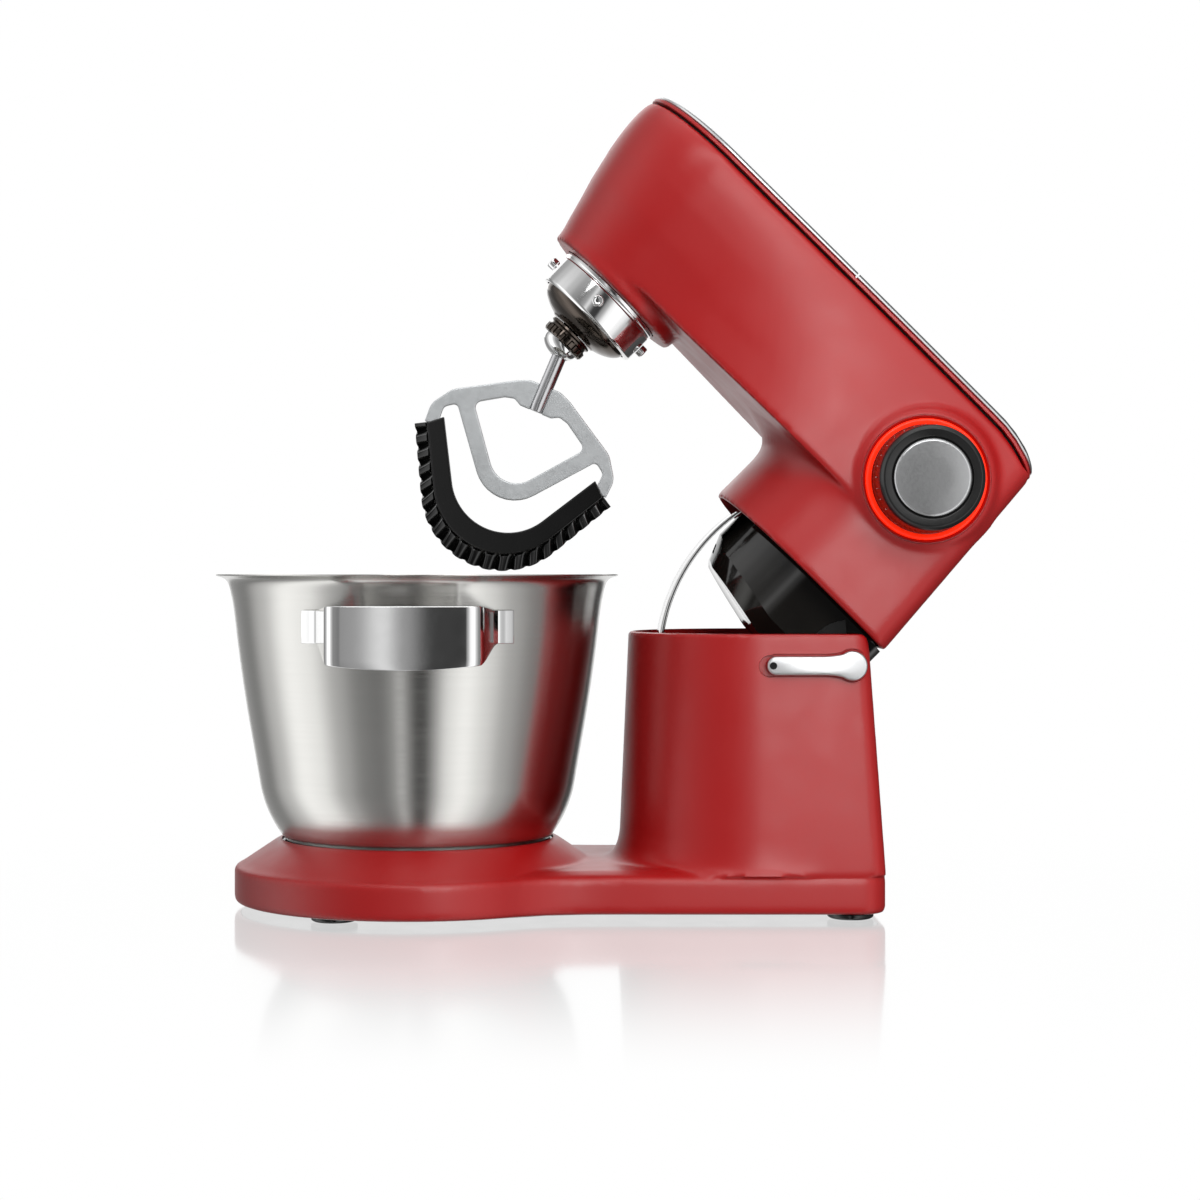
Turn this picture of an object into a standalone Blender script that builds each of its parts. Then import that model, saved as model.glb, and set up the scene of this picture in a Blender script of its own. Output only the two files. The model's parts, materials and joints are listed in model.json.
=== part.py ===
"""Tilt-head stand mixer: base with column, tilting arm, planetary hub, bowl and flat beater.

Metres, +Z up, +X from the bowl towards the column, the speed knob on the -Y side. The head is modelled
in its lowered position and its parent empty on the hinge lifts it, so lengths along X are measured from
the bowl's axis, which is also the hub's axis when the head is down.
"""

import math

import bmesh
import bpy
from mathutils import Matrix, Vector

MM = 0.001
GAP = 0.3 * MM  # between pieces that touch
ORIGIN_X = -125.05 * MM  # the bowl's axis in the part's frame, whose origin is under the middle of the box

# Head tilt
TILT = math.radians(45)
HINGE_X, HINGE_Z = 264.5 * MM, 152.8 * MM

# Bowl: a wall that leans out from a rounded bottom
BOWL_WALL = 1.2 * MM
BOWL_RIM_Z = 207 * MM
BOWL_RIM_R = 126 * MM
BOWL_BOTTOM_R = 75 * MM  # radius of the arc that joins the flat bottom to the wall
BOWL_FLAT_R = 24.7 * MM
BOWL_BOTTOM_Z = 14.5 * MM
BOWL_SIDE = ((98.4, 76), (101.0, 91), (107.2, 126), (112.2, 161), (115.0, 187), (118.4, 202), (121.5, 205.6))
FOOT_RING_R = 40 * MM
HANDLE_R = 116 * MM  # radius on which the handle's tabs lie
HANDLE_REACH = 139.5 * MM
HANDLE_TOP_Z, HANDLE_HEIGHT, HANDLE_TAB_HEIGHT = 189 * MM, 35.5 * MM, 19 * MM
HANDLE_HALF, HANDLE_TAB_INNER, HANDLE_TAB_OUTER = 40 * MM, 54 * MM, 62.8 * MM
HANDLE_STRIP = 1.6 * MM

# Base and column
BASE_FRONT_R = 114.5 * MM
BASE_HALF_WIDTH = 83 * MM
BASE_REAR_X = 285.7 * MM
BASE_BOTTOM_Z, BASE_CREASE_Z, BASE_DECK_Z = 3.5 * MM, 25 * MM, 29.5 * MM
BASE_WALL = 3.6 * MM
COLLAR_TOP_Z = 42.6 * MM
WELL_R = 85.2 * MM
COLUMN_TOP_Z = 171.6 * MM
COLUMN_FRONT_X, COLUMN_FRONT_TOP_X = 126.1 * MM, 132.6 * MM
COLUMN_REAR_TOP_X = 275.1 * MM
COLUMN_TOP_HALF = 80 * MM
COLUMN_CENTRE_X = 212 * MM
FOOT_R, FOOT_HEIGHT = 14 * MM, 3.3 * MM
PLATE_THICKNESS = 2.6 * MM

# Arm, in its lowered position
ARM_WALL = 3.2 * MM
ARM_BOTTOM_Z = COLUMN_TOP_Z + 1.4 * MM
ARM_UNDERSIDE_Z = 225 * MM
ARM_TOP_Z = 316.9 * MM
NOSE_RIM_Z, NOSE_RIM_R = 215 * MM, 48.9 * MM
BLOCK_FRONT_X = 137.1 * MM
ARM_REAR_X = 273 * MM  # at the arm's bottom edge
ARM_REAR_SLOPE = 0.073  # how far the rear face leans forward for each metre up
ARM_CORNER_R = 12 * MM
# height, nose radius and rear half-width of the arm's plan outline
ARM_LEVELS = ((225, 50.5, 77.5), (245, 56, 76.5), (270, 62.6, 75), (292, 66.8, 73), (307, 67.9, 71.3))
ARM_TOP_NOSE_R, ARM_TOP_HALF = 66.6 * MM, 70 * MM
TOP_DROP_FROM_X, TOP_DROP = 223 * MM, 9.8 * MM  # the top edge curves down at the rear
TRIM_THICKNESS, LID_THICKNESS = 2.2 * MM, 4 * MM
SEAM = 1.3 * MM
LID_SPLIT_X = 102 * MM
LID_GAP = 1.2 * MM
OUTLET_R = 24 * MM

# Hub, tool spindle and beater
HUB_RING_R, HUB_RING_BOTTOM_Z = 36.9 * MM, 192 * MM
TOOL_TILT = math.radians(22)
TOOL_APEX_Z = 175.8 * MM  # where the tool axis crosses the hub axis
RIBBED_COLLAR_R, RIBBED_COLLAR_Z, DOME_BOTTOM_Z = 15.4 * MM, 170.7 * MM, 180.8 * MM
BALL_R, BALL_BOTTOM_Z = 12.3 * MM, 161.8 * MM
SPINDLE_R, BEATER_SHAFT_R, SPIGOT_R = 5.5 * MM, 4.75 * MM, 2.5 * MM
RUNNING = 0.4 * MM
BEATER_THICKNESS, BLADE_THICKNESS = 4 * MM, 8 * MM
RING_TEETH, PINION_TEETH = 34, 13
PINION_NEAR, PINION_FAR = 55 * MM, 64 * MM  # distance of the pinion's two faces from the apex
TOOTH_HEIGHT = 2.2 * MM

# Motor and belt
MOTOR_X = 205 * MM
HUB_PULLEY_R, MOTOR_PULLEY_R, BELT_THICKNESS, BELT_WIDTH = 38 * MM, 8 * MM, 1.8 * MM, 9 * MM
BELT_Z = 268 * MM

# Knob and lever
KNOB_X, KNOB_Z, KNOB_FACE_Y = 217.3 * MM, 263.3 * MM, -108 * MM
KNOB_R, KNOB_CAP_R, LIGHT_RING_R, DISH_R = 30.4 * MM, 23 * MM, 36.4 * MM, 38.6 * MM
DISH_Y = -75.5 * MM
LEVER_BOSS_R, LEVER_HALF_HEIGHT, LEVER_LENGTH = 8.9 * MM, 5.6 * MM, 51 * MM
LEVER_INNER_Y, LEVER_OUTER_Y = -81.3 * MM, -86 * MM
CRANK_R = 14 * MM
TUB_FRONT_X, TUB_HALF_WIDTH, TUB_WALL = 155.4 * MM, 62 * MM, 2.5 * MM
HINGE_PIN_R = 4.2 * MM
STRAP_INNER_R, STRAP_THICKNESS, STRAP_HALF_WIDTH = 112 * MM, 2.5 * MM, 30 * MM


# ---------------------------------------------------------------- helpers


def clear_scene():
    for obj in list(bpy.data.objects):
        bpy.data.objects.remove(obj, do_unlink=True)


def collection(name):
    made = bpy.data.collections.new(name)
    bpy.context.scene.collection.children.link(made)
    return made


def material(name, colour, roughness, metallic=0.0):
    made = bpy.data.materials.new(name)
    made.use_nodes = True
    shader = made.node_tree.nodes["Principled BSDF"]
    shader.inputs["Base Color"].default_value = (*colour, 1.0)
    shader.inputs["Roughness"].default_value = roughness
    shader.inputs["Metallic"].default_value = metallic
    made.diffuse_color = (*colour, 1.0)
    return made


def empty(name, parent, location=(0, 0, 0), rotation=(0, 0, 0)):
    made = bpy.data.objects.new(name, None)
    made.parent, made.location, made.rotation_euler = parent, location, rotation
    PARTS.objects.link(made)
    return made


def place(obj, paint, parent, location=(0, 0, 0), rotation=(0, 0, 0)):
    """Link an object as a piece of the mixer, with its material and its place under its parent."""
    obj.parent, obj.location, obj.rotation_euler = parent, location, rotation
    obj.data.materials.append(paint)
    PARTS.objects.link(obj)
    if obj.type == "MESH":
        obj.data.shade_smooth()
        obj.data.set_sharp_from_angle(angle=math.radians(35))
    return obj


def tool(obj, parent, location=(0, 0, 0), rotation=(0, 0, 0)):
    """Link an object as a hidden helper that a Boolean reads."""
    obj.parent, obj.location, obj.rotation_euler = parent, location, rotation
    obj.hide_render = True
    obj.display_type = "WIRE"
    CUTTERS.objects.link(obj)
    return obj


def boolean(target, helper, operation):
    modifier = target.modifiers.new(operation.lower() + "_" + helper.name, "BOOLEAN")
    modifier.operation, modifier.solver, modifier.object = operation, "EXACT", helper


def cut(target, helper):
    boolean(target, helper, "DIFFERENCE")


def join(target, helper):
    boolean(target, helper, "UNION")


def object_from_bmesh(name, shape):
    bmesh.ops.recalc_face_normals(shape, faces=shape.faces)
    mesh = bpy.data.meshes.new(name)
    shape.to_mesh(mesh)
    shape.free()
    return bpy.data.objects.new(name, mesh)


def box(name, low, high):
    """A box between two corners."""
    shape = bmesh.new()
    bmesh.ops.create_cube(shape, size=1.0)
    size = [h - l for l, h in zip(low, high)]
    middle = [(h + l) / 2 for l, h in zip(low, high)]
    for vert in shape.verts:
        vert.co = Vector([m + c * s for m, c, s in zip(middle, vert.co, size)])
    return object_from_bmesh(name, shape)


def rod(name, start, end, radius, end_radius=None, segments=24):
    """A round bar, or a cone, between two points."""
    start, end = Vector(start), Vector(end)
    axis = end - start
    shape = bmesh.new()
    bmesh.ops.create_cone(
        shape, cap_ends=True, segments=segments, radius1=radius,
        radius2=radius if end_radius is None else end_radius, depth=axis.length,
    )
    turn = axis.to_track_quat("Z", "Y").to_matrix().to_4x4()
    bmesh.ops.transform(shape, matrix=turn, verts=shape.verts)
    bmesh.ops.translate(shape, vec=(start + end) / 2, verts=shape.verts)
    return object_from_bmesh(name, shape)


def turned(name, profile, segments=32, closed=False):
    """A profile of (radius, height), running down its outer side, turned about Z."""
    mesh = bpy.data.meshes.new(name)
    edges = [(k, k + 1) for k in range(len(profile) - 1)]
    if closed:
        edges.append((len(profile) - 1, 0))
    mesh.from_pydata([(r, 0, z) for r, z in profile], edges, [])
    obj = bpy.data.objects.new(name, mesh)
    screw = obj.modifiers.new("turn", "SCREW")
    screw.angle = 2 * math.pi
    screw.steps = screw.render_steps = segments
    screw.use_merge_vertices, screw.merge_threshold = True, 1e-5
    screw.use_smooth_shade = True
    return obj


def ring(name, inner, outer, low, high, segments=32):
    return turned(name, [(outer, high), (outer, low), (inner, low), (inner, high)], segments, closed=True)


def circle(x, y, radius, count=16):
    return [
        (x + radius * math.cos(2 * math.pi * k / count), y + radius * math.sin(2 * math.pi * k / count))
        for k in range(count)
    ]


def rounded(corners, steps=4):
    """A closed outline from (x, y, radius) corners, each rounded by an arc."""
    points = []
    for k, (x, y, radius) in enumerate(corners):
        here = Vector((x, y))
        back = (Vector(corners[k - 1][:2]) - here).normalized()
        ahead = (Vector(corners[(k + 1) % len(corners)][:2]) - here).normalized()
        if radius <= 0:
            points.append((x, y))
            continue
        half = back.angle(ahead) / 2
        centre = here + (back + ahead).normalized() * (radius / math.sin(half))
        first = here + back * (radius / math.tan(half)) - centre
        last = here + ahead * (radius / math.tan(half)) - centre
        turn = first.angle_signed(last)
        for step in range(steps + 1):
            angle = -turn * step / steps
            points.append((
                centre.x + first.x * math.cos(angle) - first.y * math.sin(angle),
                centre.y + first.x * math.sin(angle) + first.y * math.cos(angle),
            ))
    return points


def mirrored(half):
    """Corners on the +x side, and their mirror images, as one closed outline."""
    return list(half) + [(-c[0], *c[1:]) for c in reversed(half) if c[0] > 0]


def plate(name, outlines, thickness):
    """Flat outlines, the first one outside and the rest holes, given a thickness about their plane."""
    curve = bpy.data.curves.new(name, "CURVE")
    curve.dimensions, curve.fill_mode, curve.extrude = "2D", "BOTH", thickness / 2
    for outline in outlines:
        spline = curve.splines.new("POLY")
        spline.points.add(len(outline) - 1)
        for point, (x, y) in zip(spline.points, outline):
            point.co = (x, y, 0, 1)
        spline.use_cyclic_u = True
    return bpy.data.objects.new(name, curve)


def solid_plate(name, outlines, thickness):
    """A plate as a mesh, for pieces that are cut or joined."""
    drawn = plate(name + "_outline", outlines, thickness)
    bpy.context.scene.collection.objects.link(drawn)
    bpy.context.view_layer.update()
    graph = bpy.context.evaluated_depsgraph_get()
    mesh = bpy.data.meshes.new_from_object(drawn.evaluated_get(graph))
    bpy.data.objects.remove(drawn, do_unlink=True)
    shape = bmesh.new()
    shape.from_mesh(mesh)
    bmesh.ops.remove_doubles(shape, verts=shape.verts, dist=1e-6)
    return object_from_bmesh(name, shape)


def hermite(start, slope, end, count):
    """Points from start, leaving with a slope, to end, arriving level."""
    (x0, y0), (x1, y1) = start, end
    points = []
    for k in range(1, count + 1):
        u = k / count
        value = (2 * u**3 - 3 * u**2 + 1) * y0 + (3 * u**2 - 2 * u**3) * y1
        value += (u**3 - 2 * u**2 + u) * slope * (x1 - x0)
        points.append((x0 + (x1 - x0) * u, value))
    return points


def half_outline(front_x, centre_x, front_half, rear_x, rear_half, corner, side_x, sweep=90, arcs=9):
    """The +y half of a plan outline: an elliptical front, sides that settle at side_x, rounded rear corners."""
    points = []
    for k in range(arcs + 1):
        angle = math.radians(sweep) * k / arcs
        points.append((centre_x - (centre_x - front_x) * math.cos(angle), front_half * math.sin(angle)))
    depth = centre_x - front_x
    slope = front_half / depth * math.cos(math.radians(sweep)) / math.sin(math.radians(sweep))
    points += hermite(points[-1], slope, (side_x, rear_half), 4)
    for k in range(4):
        angle = math.pi / 2 * k / 3
        points.append((rear_x - corner + corner * math.sin(angle), rear_half - corner + corner * math.cos(angle)))
    return points


def level(outline, height):
    """The outline at a height, which is a number or a function of x."""
    return [(x, y, height(x) if callable(height) else height) for x, y in outline]


def loft(name, levels):
    """A solid through half outlines at rising heights, mirrored in Y and closed by strips across."""
    last = len(levels[0]) - 1
    count = 2 * last + 1
    shape = bmesh.new()
    rings = []
    for points in levels:
        far = [(x, -y, z) for x, y, z in reversed(points[1:])]
        rings.append([shape.verts.new(p) for p in list(points) + far])
    for low, high in zip(rings, rings[1:]):
        for k in range(count):
            after = (k + 1) % count
            shape.faces.new((low[k], low[after], high[after], high[k]))
    for ends in (rings[0], rings[-1]):
        for k in range(last):
            corners = [ends[k], ends[k + 1], ends[count - k - 1], ends[(count - k) % count]]
            shape.faces.new(list(dict.fromkeys(corners)))
    bmesh.ops.recalc_face_normals(shape, faces=shape.faces)
    bmesh.ops.triangulate(shape, faces=shape.faces)
    return object_from_bmesh(name, shape)


def slab(name, half_width, stations, low, high, bevel=0.0, edge=None):
    """A plate whose width, underside and top are functions of x, its long top edges bevelled or square."""
    shape = bmesh.new()
    rings = []
    for x in stations:
        w = max(half_width(x), 0.5 * MM)
        shoulder = edge(x) if edge else high(x)
        flat = max(w - bevel, 0.3 * MM)
        corners = [(x, -w, low(x)), (x, w, low(x)), (x, w, shoulder), (x, -w, shoulder)]
        if edge:
            corners[3:3] = [(x, flat, high(x)), (x, -flat, high(x))]
        rings.append([shape.verts.new(c) for c in corners])
    count = len(rings[0])
    for near, far in zip(rings, rings[1:]):
        for k in range(count):
            shape.faces.new((near[k], near[(k + 1) % count], far[(k + 1) % count], far[k]))
    shape.faces.new(rings[0])
    shape.faces.new(list(reversed(rings[-1])))
    bmesh.ops.triangulate(shape, faces=shape.faces)
    return object_from_bmesh(name, shape)


# ---------------------------------------------------------------- base and column


def base_outline(inset=0.0):
    front = BASE_FRONT_R - inset
    return half_outline(
        -front, 0.0, front, BASE_REAR_X - inset, BASE_HALF_WIDTH - inset,
        14 * MM, COLUMN_CENTRE_X - 60 * MM, sweep=122, arcs=14,
    )


def column_outline(share, inset=0.0):
    """The column's plan between its foot (share 0) and its top (share 1)."""
    front = COLUMN_FRONT_X + (COLUMN_FRONT_TOP_X - COLUMN_FRONT_X) * share + inset
    rear = BASE_REAR_X + (COLUMN_REAR_TOP_X - BASE_REAR_X) * share - inset
    half = BASE_HALF_WIDTH + (COLUMN_TOP_HALF - BASE_HALF_WIDTH) * share - inset
    return half_outline(front, COLUMN_CENTRE_X, half, rear, half, 8 * MM, COLUMN_CENTRE_X + 40 * MM)


def column_top(x):
    """The column's top edge, rounded down at the rear so that the arm can swing past it."""
    radius = 6 * MM
    over = min(max(x - (COLUMN_REAR_TOP_X - radius), 0.0), radius)
    return COLUMN_TOP_Z - radius + math.sqrt(radius**2 - over**2)


def make_base_housing():
    housing = loft("base_housing", [
        level(base_outline(3 * MM), BASE_BOTTOM_Z),
        level(base_outline(), BASE_BOTTOM_Z + 3 * MM),
        level(base_outline(), BASE_CREASE_Z),
        level(base_outline(2.5 * MM), BASE_CREASE_Z + 2.5 * MM),
        level(base_outline(10 * MM), BASE_DECK_Z),
    ])
    place(housing, RED, BASE)
    slope = turned("collar_slope", [
        (0, COLLAR_TOP_Z), (WELL_R + 2.4 * MM, COLLAR_TOP_Z), (WELL_R + 4 * MM, COLLAR_TOP_Z - 1.2 * MM),
        (BASE_FRONT_R - 2.4 * MM, BASE_CREASE_Z + 0.8 * MM), (BASE_FRONT_R - 2.4 * MM, BASE_CREASE_Z - 5 * MM),
        (0, BASE_CREASE_Z - 5 * MM),
    ], 48)
    join(housing, tool(slope, BASE))
    foot_z = BASE_CREASE_Z - 4 * MM
    column = loft("column_outer", [
        level(column_outline(0), foot_z),
        level(column_outline(0.965), COLUMN_TOP_Z - 7 * MM),
        level(column_outline(1), column_top),
    ])
    join(housing, tool(column, BASE))
    cavity = loft("base_inner", [
        level(base_outline(BASE_WALL), BASE_BOTTOM_Z - 2 * MM),
        level(base_outline(BASE_WALL), BASE_CREASE_Z - 3.6 * MM),
    ])
    cut(housing, tool(cavity, BASE))
    inner = loft("column_inner", [
        level(column_outline(0, BASE_WALL), BASE_CREASE_Z - 8 * MM),
        level(column_outline(1, BASE_WALL), COLUMN_TOP_Z + 8 * MM),
    ])
    cut(housing, tool(inner, BASE))
    well = rod("well", (0, 0, BASE_BOTTOM_Z - 1 * MM), (0, 0, COLLAR_TOP_Z + 5 * MM), WELL_R, segments=48)
    cut(housing, tool(well, BASE))
    notch = box(
        "rear_notch",
        (COLUMN_REAR_TOP_X - 9 * MM, -TUB_HALF_WIDTH - 2 * MM, HINGE_Z - 9 * MM),
        (COLUMN_REAR_TOP_X + 12 * MM, TUB_HALF_WIDTH + 2 * MM, COLUMN_TOP_Z + 5 * MM),
    )
    cut(housing, tool(notch, BASE))
    hole = rod("lever_hole", (HINGE_X, -95 * MM, HINGE_Z), (HINGE_X, -70 * MM, HINGE_Z), 4.4 * MM, segments=16)
    cut(housing, tool(hole, BASE))
    exit_hole = rod("gland_hole", (270 * MM, 45 * MM, 14 * MM), (300 * MM, 45 * MM, 14 * MM), 6.4 * MM, segments=16)
    cut(housing, tool(exit_hole, BASE))


def make_base_fittings():
    plate_low = BASE_BOTTOM_Z + 0.1 * MM
    base_plate = loft("base_plate", [
        level(base_outline(BASE_WALL + 0.5 * MM), plate_low),
        level(base_outline(BASE_WALL + 0.5 * MM), plate_low + PLATE_THICKNESS),
    ])
    place(base_plate, DARK_PLASTIC, BASE)
    for name, x, y in (
        ("front_near", -45, -80), ("front_far", -45, 80), ("rear_near", 265, -66), ("rear_far", 265, 66),
    ):
        x, y = x * MM, y * MM
        foot = turned("foot_" + name, [
            (0, FOOT_HEIGHT), (FOOT_R, FOOT_HEIGHT), (FOOT_R, 1 * MM), (FOOT_R - 1 * MM, 0), (0, 0),
        ], 20)
        place(foot, RUBBER, BASE, (x, y, 0))
        inwards = -24 * MM if y > 0 else 24 * MM
        screw = turned("plate_screw_" + name, [
            (0, FOOT_HEIGHT), (4 * MM, FOOT_HEIGHT), (3.4 * MM, 1.7 * MM), (0, 1.7 * MM),
        ], 12)
        place(screw, STEEL, BASE, (x, y + inwards, 0))
    floor_z = plate_low + PLATE_THICKNESS + 0.4 * MM
    locate = FOOT_RING_R + 5.2 * MM
    seat = turned("bowl_seat", [
        (WELL_R - 0.4 * MM, COLLAR_TOP_Z - 1.5 * MM), (WELL_R - 0.4 * MM, floor_z), (0, floor_z),
        (0, floor_z + 2.4 * MM), (locate, floor_z + 2.4 * MM), (locate, 14 * MM), (locate + 3.5 * MM, 14 * MM),
        (locate + 3.5 * MM, floor_z + 2.4 * MM), (WELL_R - 1.8 * MM, floor_z + 2.4 * MM),
        (WELL_R - 1.8 * MM, COLLAR_TOP_Z - 1.5 * MM), (WELL_R - 0.4 * MM, COLLAR_TOP_Z - 1.5 * MM),
    ], 36)
    place(seat, SATIN, BASE)
    gland = rod("mains_gland", (278 * MM, 45 * MM, 14 * MM), (290 * MM, 45 * MM, 14 * MM), 6 * MM, segments=16)
    place(gland, RUBBER, BASE)


def make_hinge():
    pin = rod("hinge_pin", (HINGE_X, -70.5 * MM, HINGE_Z), (HINGE_X, 74 * MM, HINGE_Z), HINGE_PIN_R)
    place(pin, STEEL, BASE)
    outline = rounded([(-19.5, -146.2, 0), (6.5, -146.2, 0), (6.5, 9.6, 6), (-19.5, 9.6, 10)])
    outline = [(x * MM, z * MM) for x, z in outline]
    for name, y in (("hinge_upright_near", -67 * MM), ("hinge_upright_far", 67 * MM)):
        upright = plate(name, [outline, circle(0, 0, HINGE_PIN_R + GAP)], 2.8 * MM)
        place(upright, STEEL, BASE, (HINGE_X, y, HINGE_Z), (math.pi / 2, 0, 0))
    per_turn, coil_r, wire_r = 16, 5.3 * MM, 0.7 * MM
    coil = bpy.data.curves.new("lift_spring", "CURVE")
    coil.dimensions, coil.bevel_depth, coil.bevel_resolution, coil.use_fill_caps = "3D", wire_r, 0, True
    spline = coil.splines.new("POLY")
    spline.points.add(3 * per_turn)
    for k, point in enumerate(spline.points):
        angle = 2 * math.pi * k / per_turn
        along = 12 * MM + 2.6 * MM * k / per_turn
        point.co = (HINGE_X + coil_r * math.cos(angle), along, HINGE_Z + coil_r * math.sin(angle), 1)
    place(bpy.data.objects.new("lift_spring", coil), STEEL, BASE)


def make_lever():
    pivot = empty("lever_axis", BASE, (HINGE_X, 0, HINGE_Z), (math.pi / 2, 0, 0))
    half, boss, tip = LEVER_HALF_HEIGHT, LEVER_BOSS_R, -LEVER_LENGTH
    start = math.asin(half / boss) + 0.35
    round_boss = [
        (boss * math.cos(a), boss * math.sin(a))
        for a in [(-math.pi + start) + (2 * math.pi - 2 * start) * k / 14 for k in range(15)]
    ]
    round_tip = [
        (tip + half + half * math.cos(a), half * math.sin(a))
        for a in [math.pi / 2 + math.pi * k / 8 for k in range(9)]
    ]
    bar = plate("release_lever", [round_boss + [(-18 * MM, half)] + round_tip + [(-18 * MM, -half)]],
                LEVER_INNER_Y - LEVER_OUTER_Y)
    place(bar, SATIN, pivot, (0, 0, -(LEVER_INNER_Y + LEVER_OUTER_Y) / 2))
    crank = rod("lever_crank", (0, 0, 71.9 * MM), (0, 0, -LEVER_INNER_Y - GAP), 3.9 * MM, segments=16)
    web = [(x * MM, z * MM) for x, z in rounded([(-4.6, -5, 3), (4.6, -5, 3), (3.4, 18, 3.2), (-3.4, 18, 3.2)])]
    join(crank, tool(solid_plate("crank_web", [web], 1.4 * MM), pivot, (0, 0, 72.5 * MM)))
    join(crank, tool(rod("crank_pin", (0, CRANK_R, 68.9 * MM), (0, CRANK_R, 72.6 * MM), 2 * MM, segments=12), pivot))
    place(crank, STEEL, pivot)
    spring = bpy.data.curves.new("lever_spring", "CURVE")
    spring.dimensions, spring.bevel_depth, spring.bevel_resolution = "3D", 0.45 * MM, 1
    spring.use_fill_caps = True
    spline = spring.splines.new("POLY")
    spline.points.add(8)
    for k, point in enumerate(spline.points):
        angle = 2 * math.pi * k / 10
        point.co = (5.2 * MM * math.cos(angle), 5.2 * MM * math.sin(angle), 74 * MM, 1)
    place(bpy.data.objects.new("lever_spring", spring), STEEL, BASE,
          (HINGE_X, 0, HINGE_Z), (math.pi / 2, 0, 0))
    slide = empty("bolt_slide_axis", BASE, (HINGE_X, 0, HINGE_Z), (math.pi / 2, 0, 0))
    arm = [(x * MM, z * MM) for x, z in ((-40, 10.2), (5, 10.2), (5, 18.2), (-40, 18.2))]
    slot = [(x * MM, z * MM) for x, z in ((-2.5, 11.2), (2.5, 11.2), (2.5, 17.2), (-2.5, 17.2))]
    bolt = solid_plate("latch_bolt", [arm, slot], 2.4 * MM)
    bolt.data.transform(Matrix.Translation((0, 0, 70.2 * MM)))
    nose = box("bolt_nose", (-40 * MM, 10.2 * MM, 62.8 * MM), (-32.5 * MM, 18.2 * MM, 70.6 * MM))
    join(bolt, tool(nose, slide))
    place(bolt, STEEL, slide)


# ---------------------------------------------------------------- arm


def arm_rear(z):
    return ARM_REAR_X - ARM_REAR_SLOPE * (z - ARM_BOTTOM_Z)


def arm_outline(z, nose_r, rear_half, inset=0.0):
    nose = nose_r - inset
    return half_outline(
        -nose, 0.0, nose, arm_rear(z) - inset, rear_half - inset, ARM_CORNER_R, BLOCK_FRONT_X + 20 * MM,
    )


def block_outline(z, rear_half, inset=0.0):
    return half_outline(
        BLOCK_FRONT_X + inset, COLUMN_CENTRE_X, rear_half - inset, arm_rear(z) - inset, rear_half - inset,
        ARM_CORNER_R, COLUMN_CENTRE_X + 35 * MM,
    )


def top_drop(x):
    """How far the top edge has curved down at x."""
    length = arm_rear(ARM_TOP_Z) - TOP_DROP_FROM_X
    return TOP_DROP * max((x - TOP_DROP_FROM_X) / length, 0.0) ** 2


def top_half_width(inset):
    """Half the width of the arm's top outline, as a function of x."""
    nose, rear, wide = ARM_TOP_NOSE_R - inset, arm_rear(ARM_TOP_Z) - inset, ARM_TOP_HALF - inset

    def width(x):
        if x < 0:
            return math.sqrt(max(nose**2 - x**2, 0.0))
        share = min(x / (BLOCK_FRONT_X + 20 * MM), 1.0)
        side = nose + (wide - nose) * (3 * share**2 - 2 * share**3)
        over = max(x - (rear - ARM_CORNER_R), 0.0)
        return side - ARM_CORNER_R + math.sqrt(max(ARM_CORNER_R**2 - over**2, 0.0))

    return width


def top_stations(start, end, inset):
    """Stations along X from start to end, close together where the outline turns."""
    nose, rear = ARM_TOP_NOSE_R - inset, arm_rear(ARM_TOP_Z) - inset
    turns = [-nose * math.cos(math.radians(a)) for a in (0, 8, 20, 35, 50, 70, 90)]
    sides = [x * MM for x in (50, 100, 150, 200, 224, 237)]
    corners = [rear - ARM_CORNER_R + ARM_CORNER_R * math.sin(math.radians(a)) for a in (0, 35, 60, 80, 90)]
    inner = [x for x in turns + sides + corners if start + 2 * MM < x < end - 2 * MM]
    return [max(start, -nose)] + inner + [min(end, rear)]


def top_slab(name, low, high, inset, start=-1.0, end=1.0):
    """A plate that follows the arm's top, between two heights."""
    return slab(
        name, top_half_width(inset), top_stations(start, end, inset),
        lambda x: low - top_drop(x), lambda x: high - top_drop(x),
    )


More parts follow.
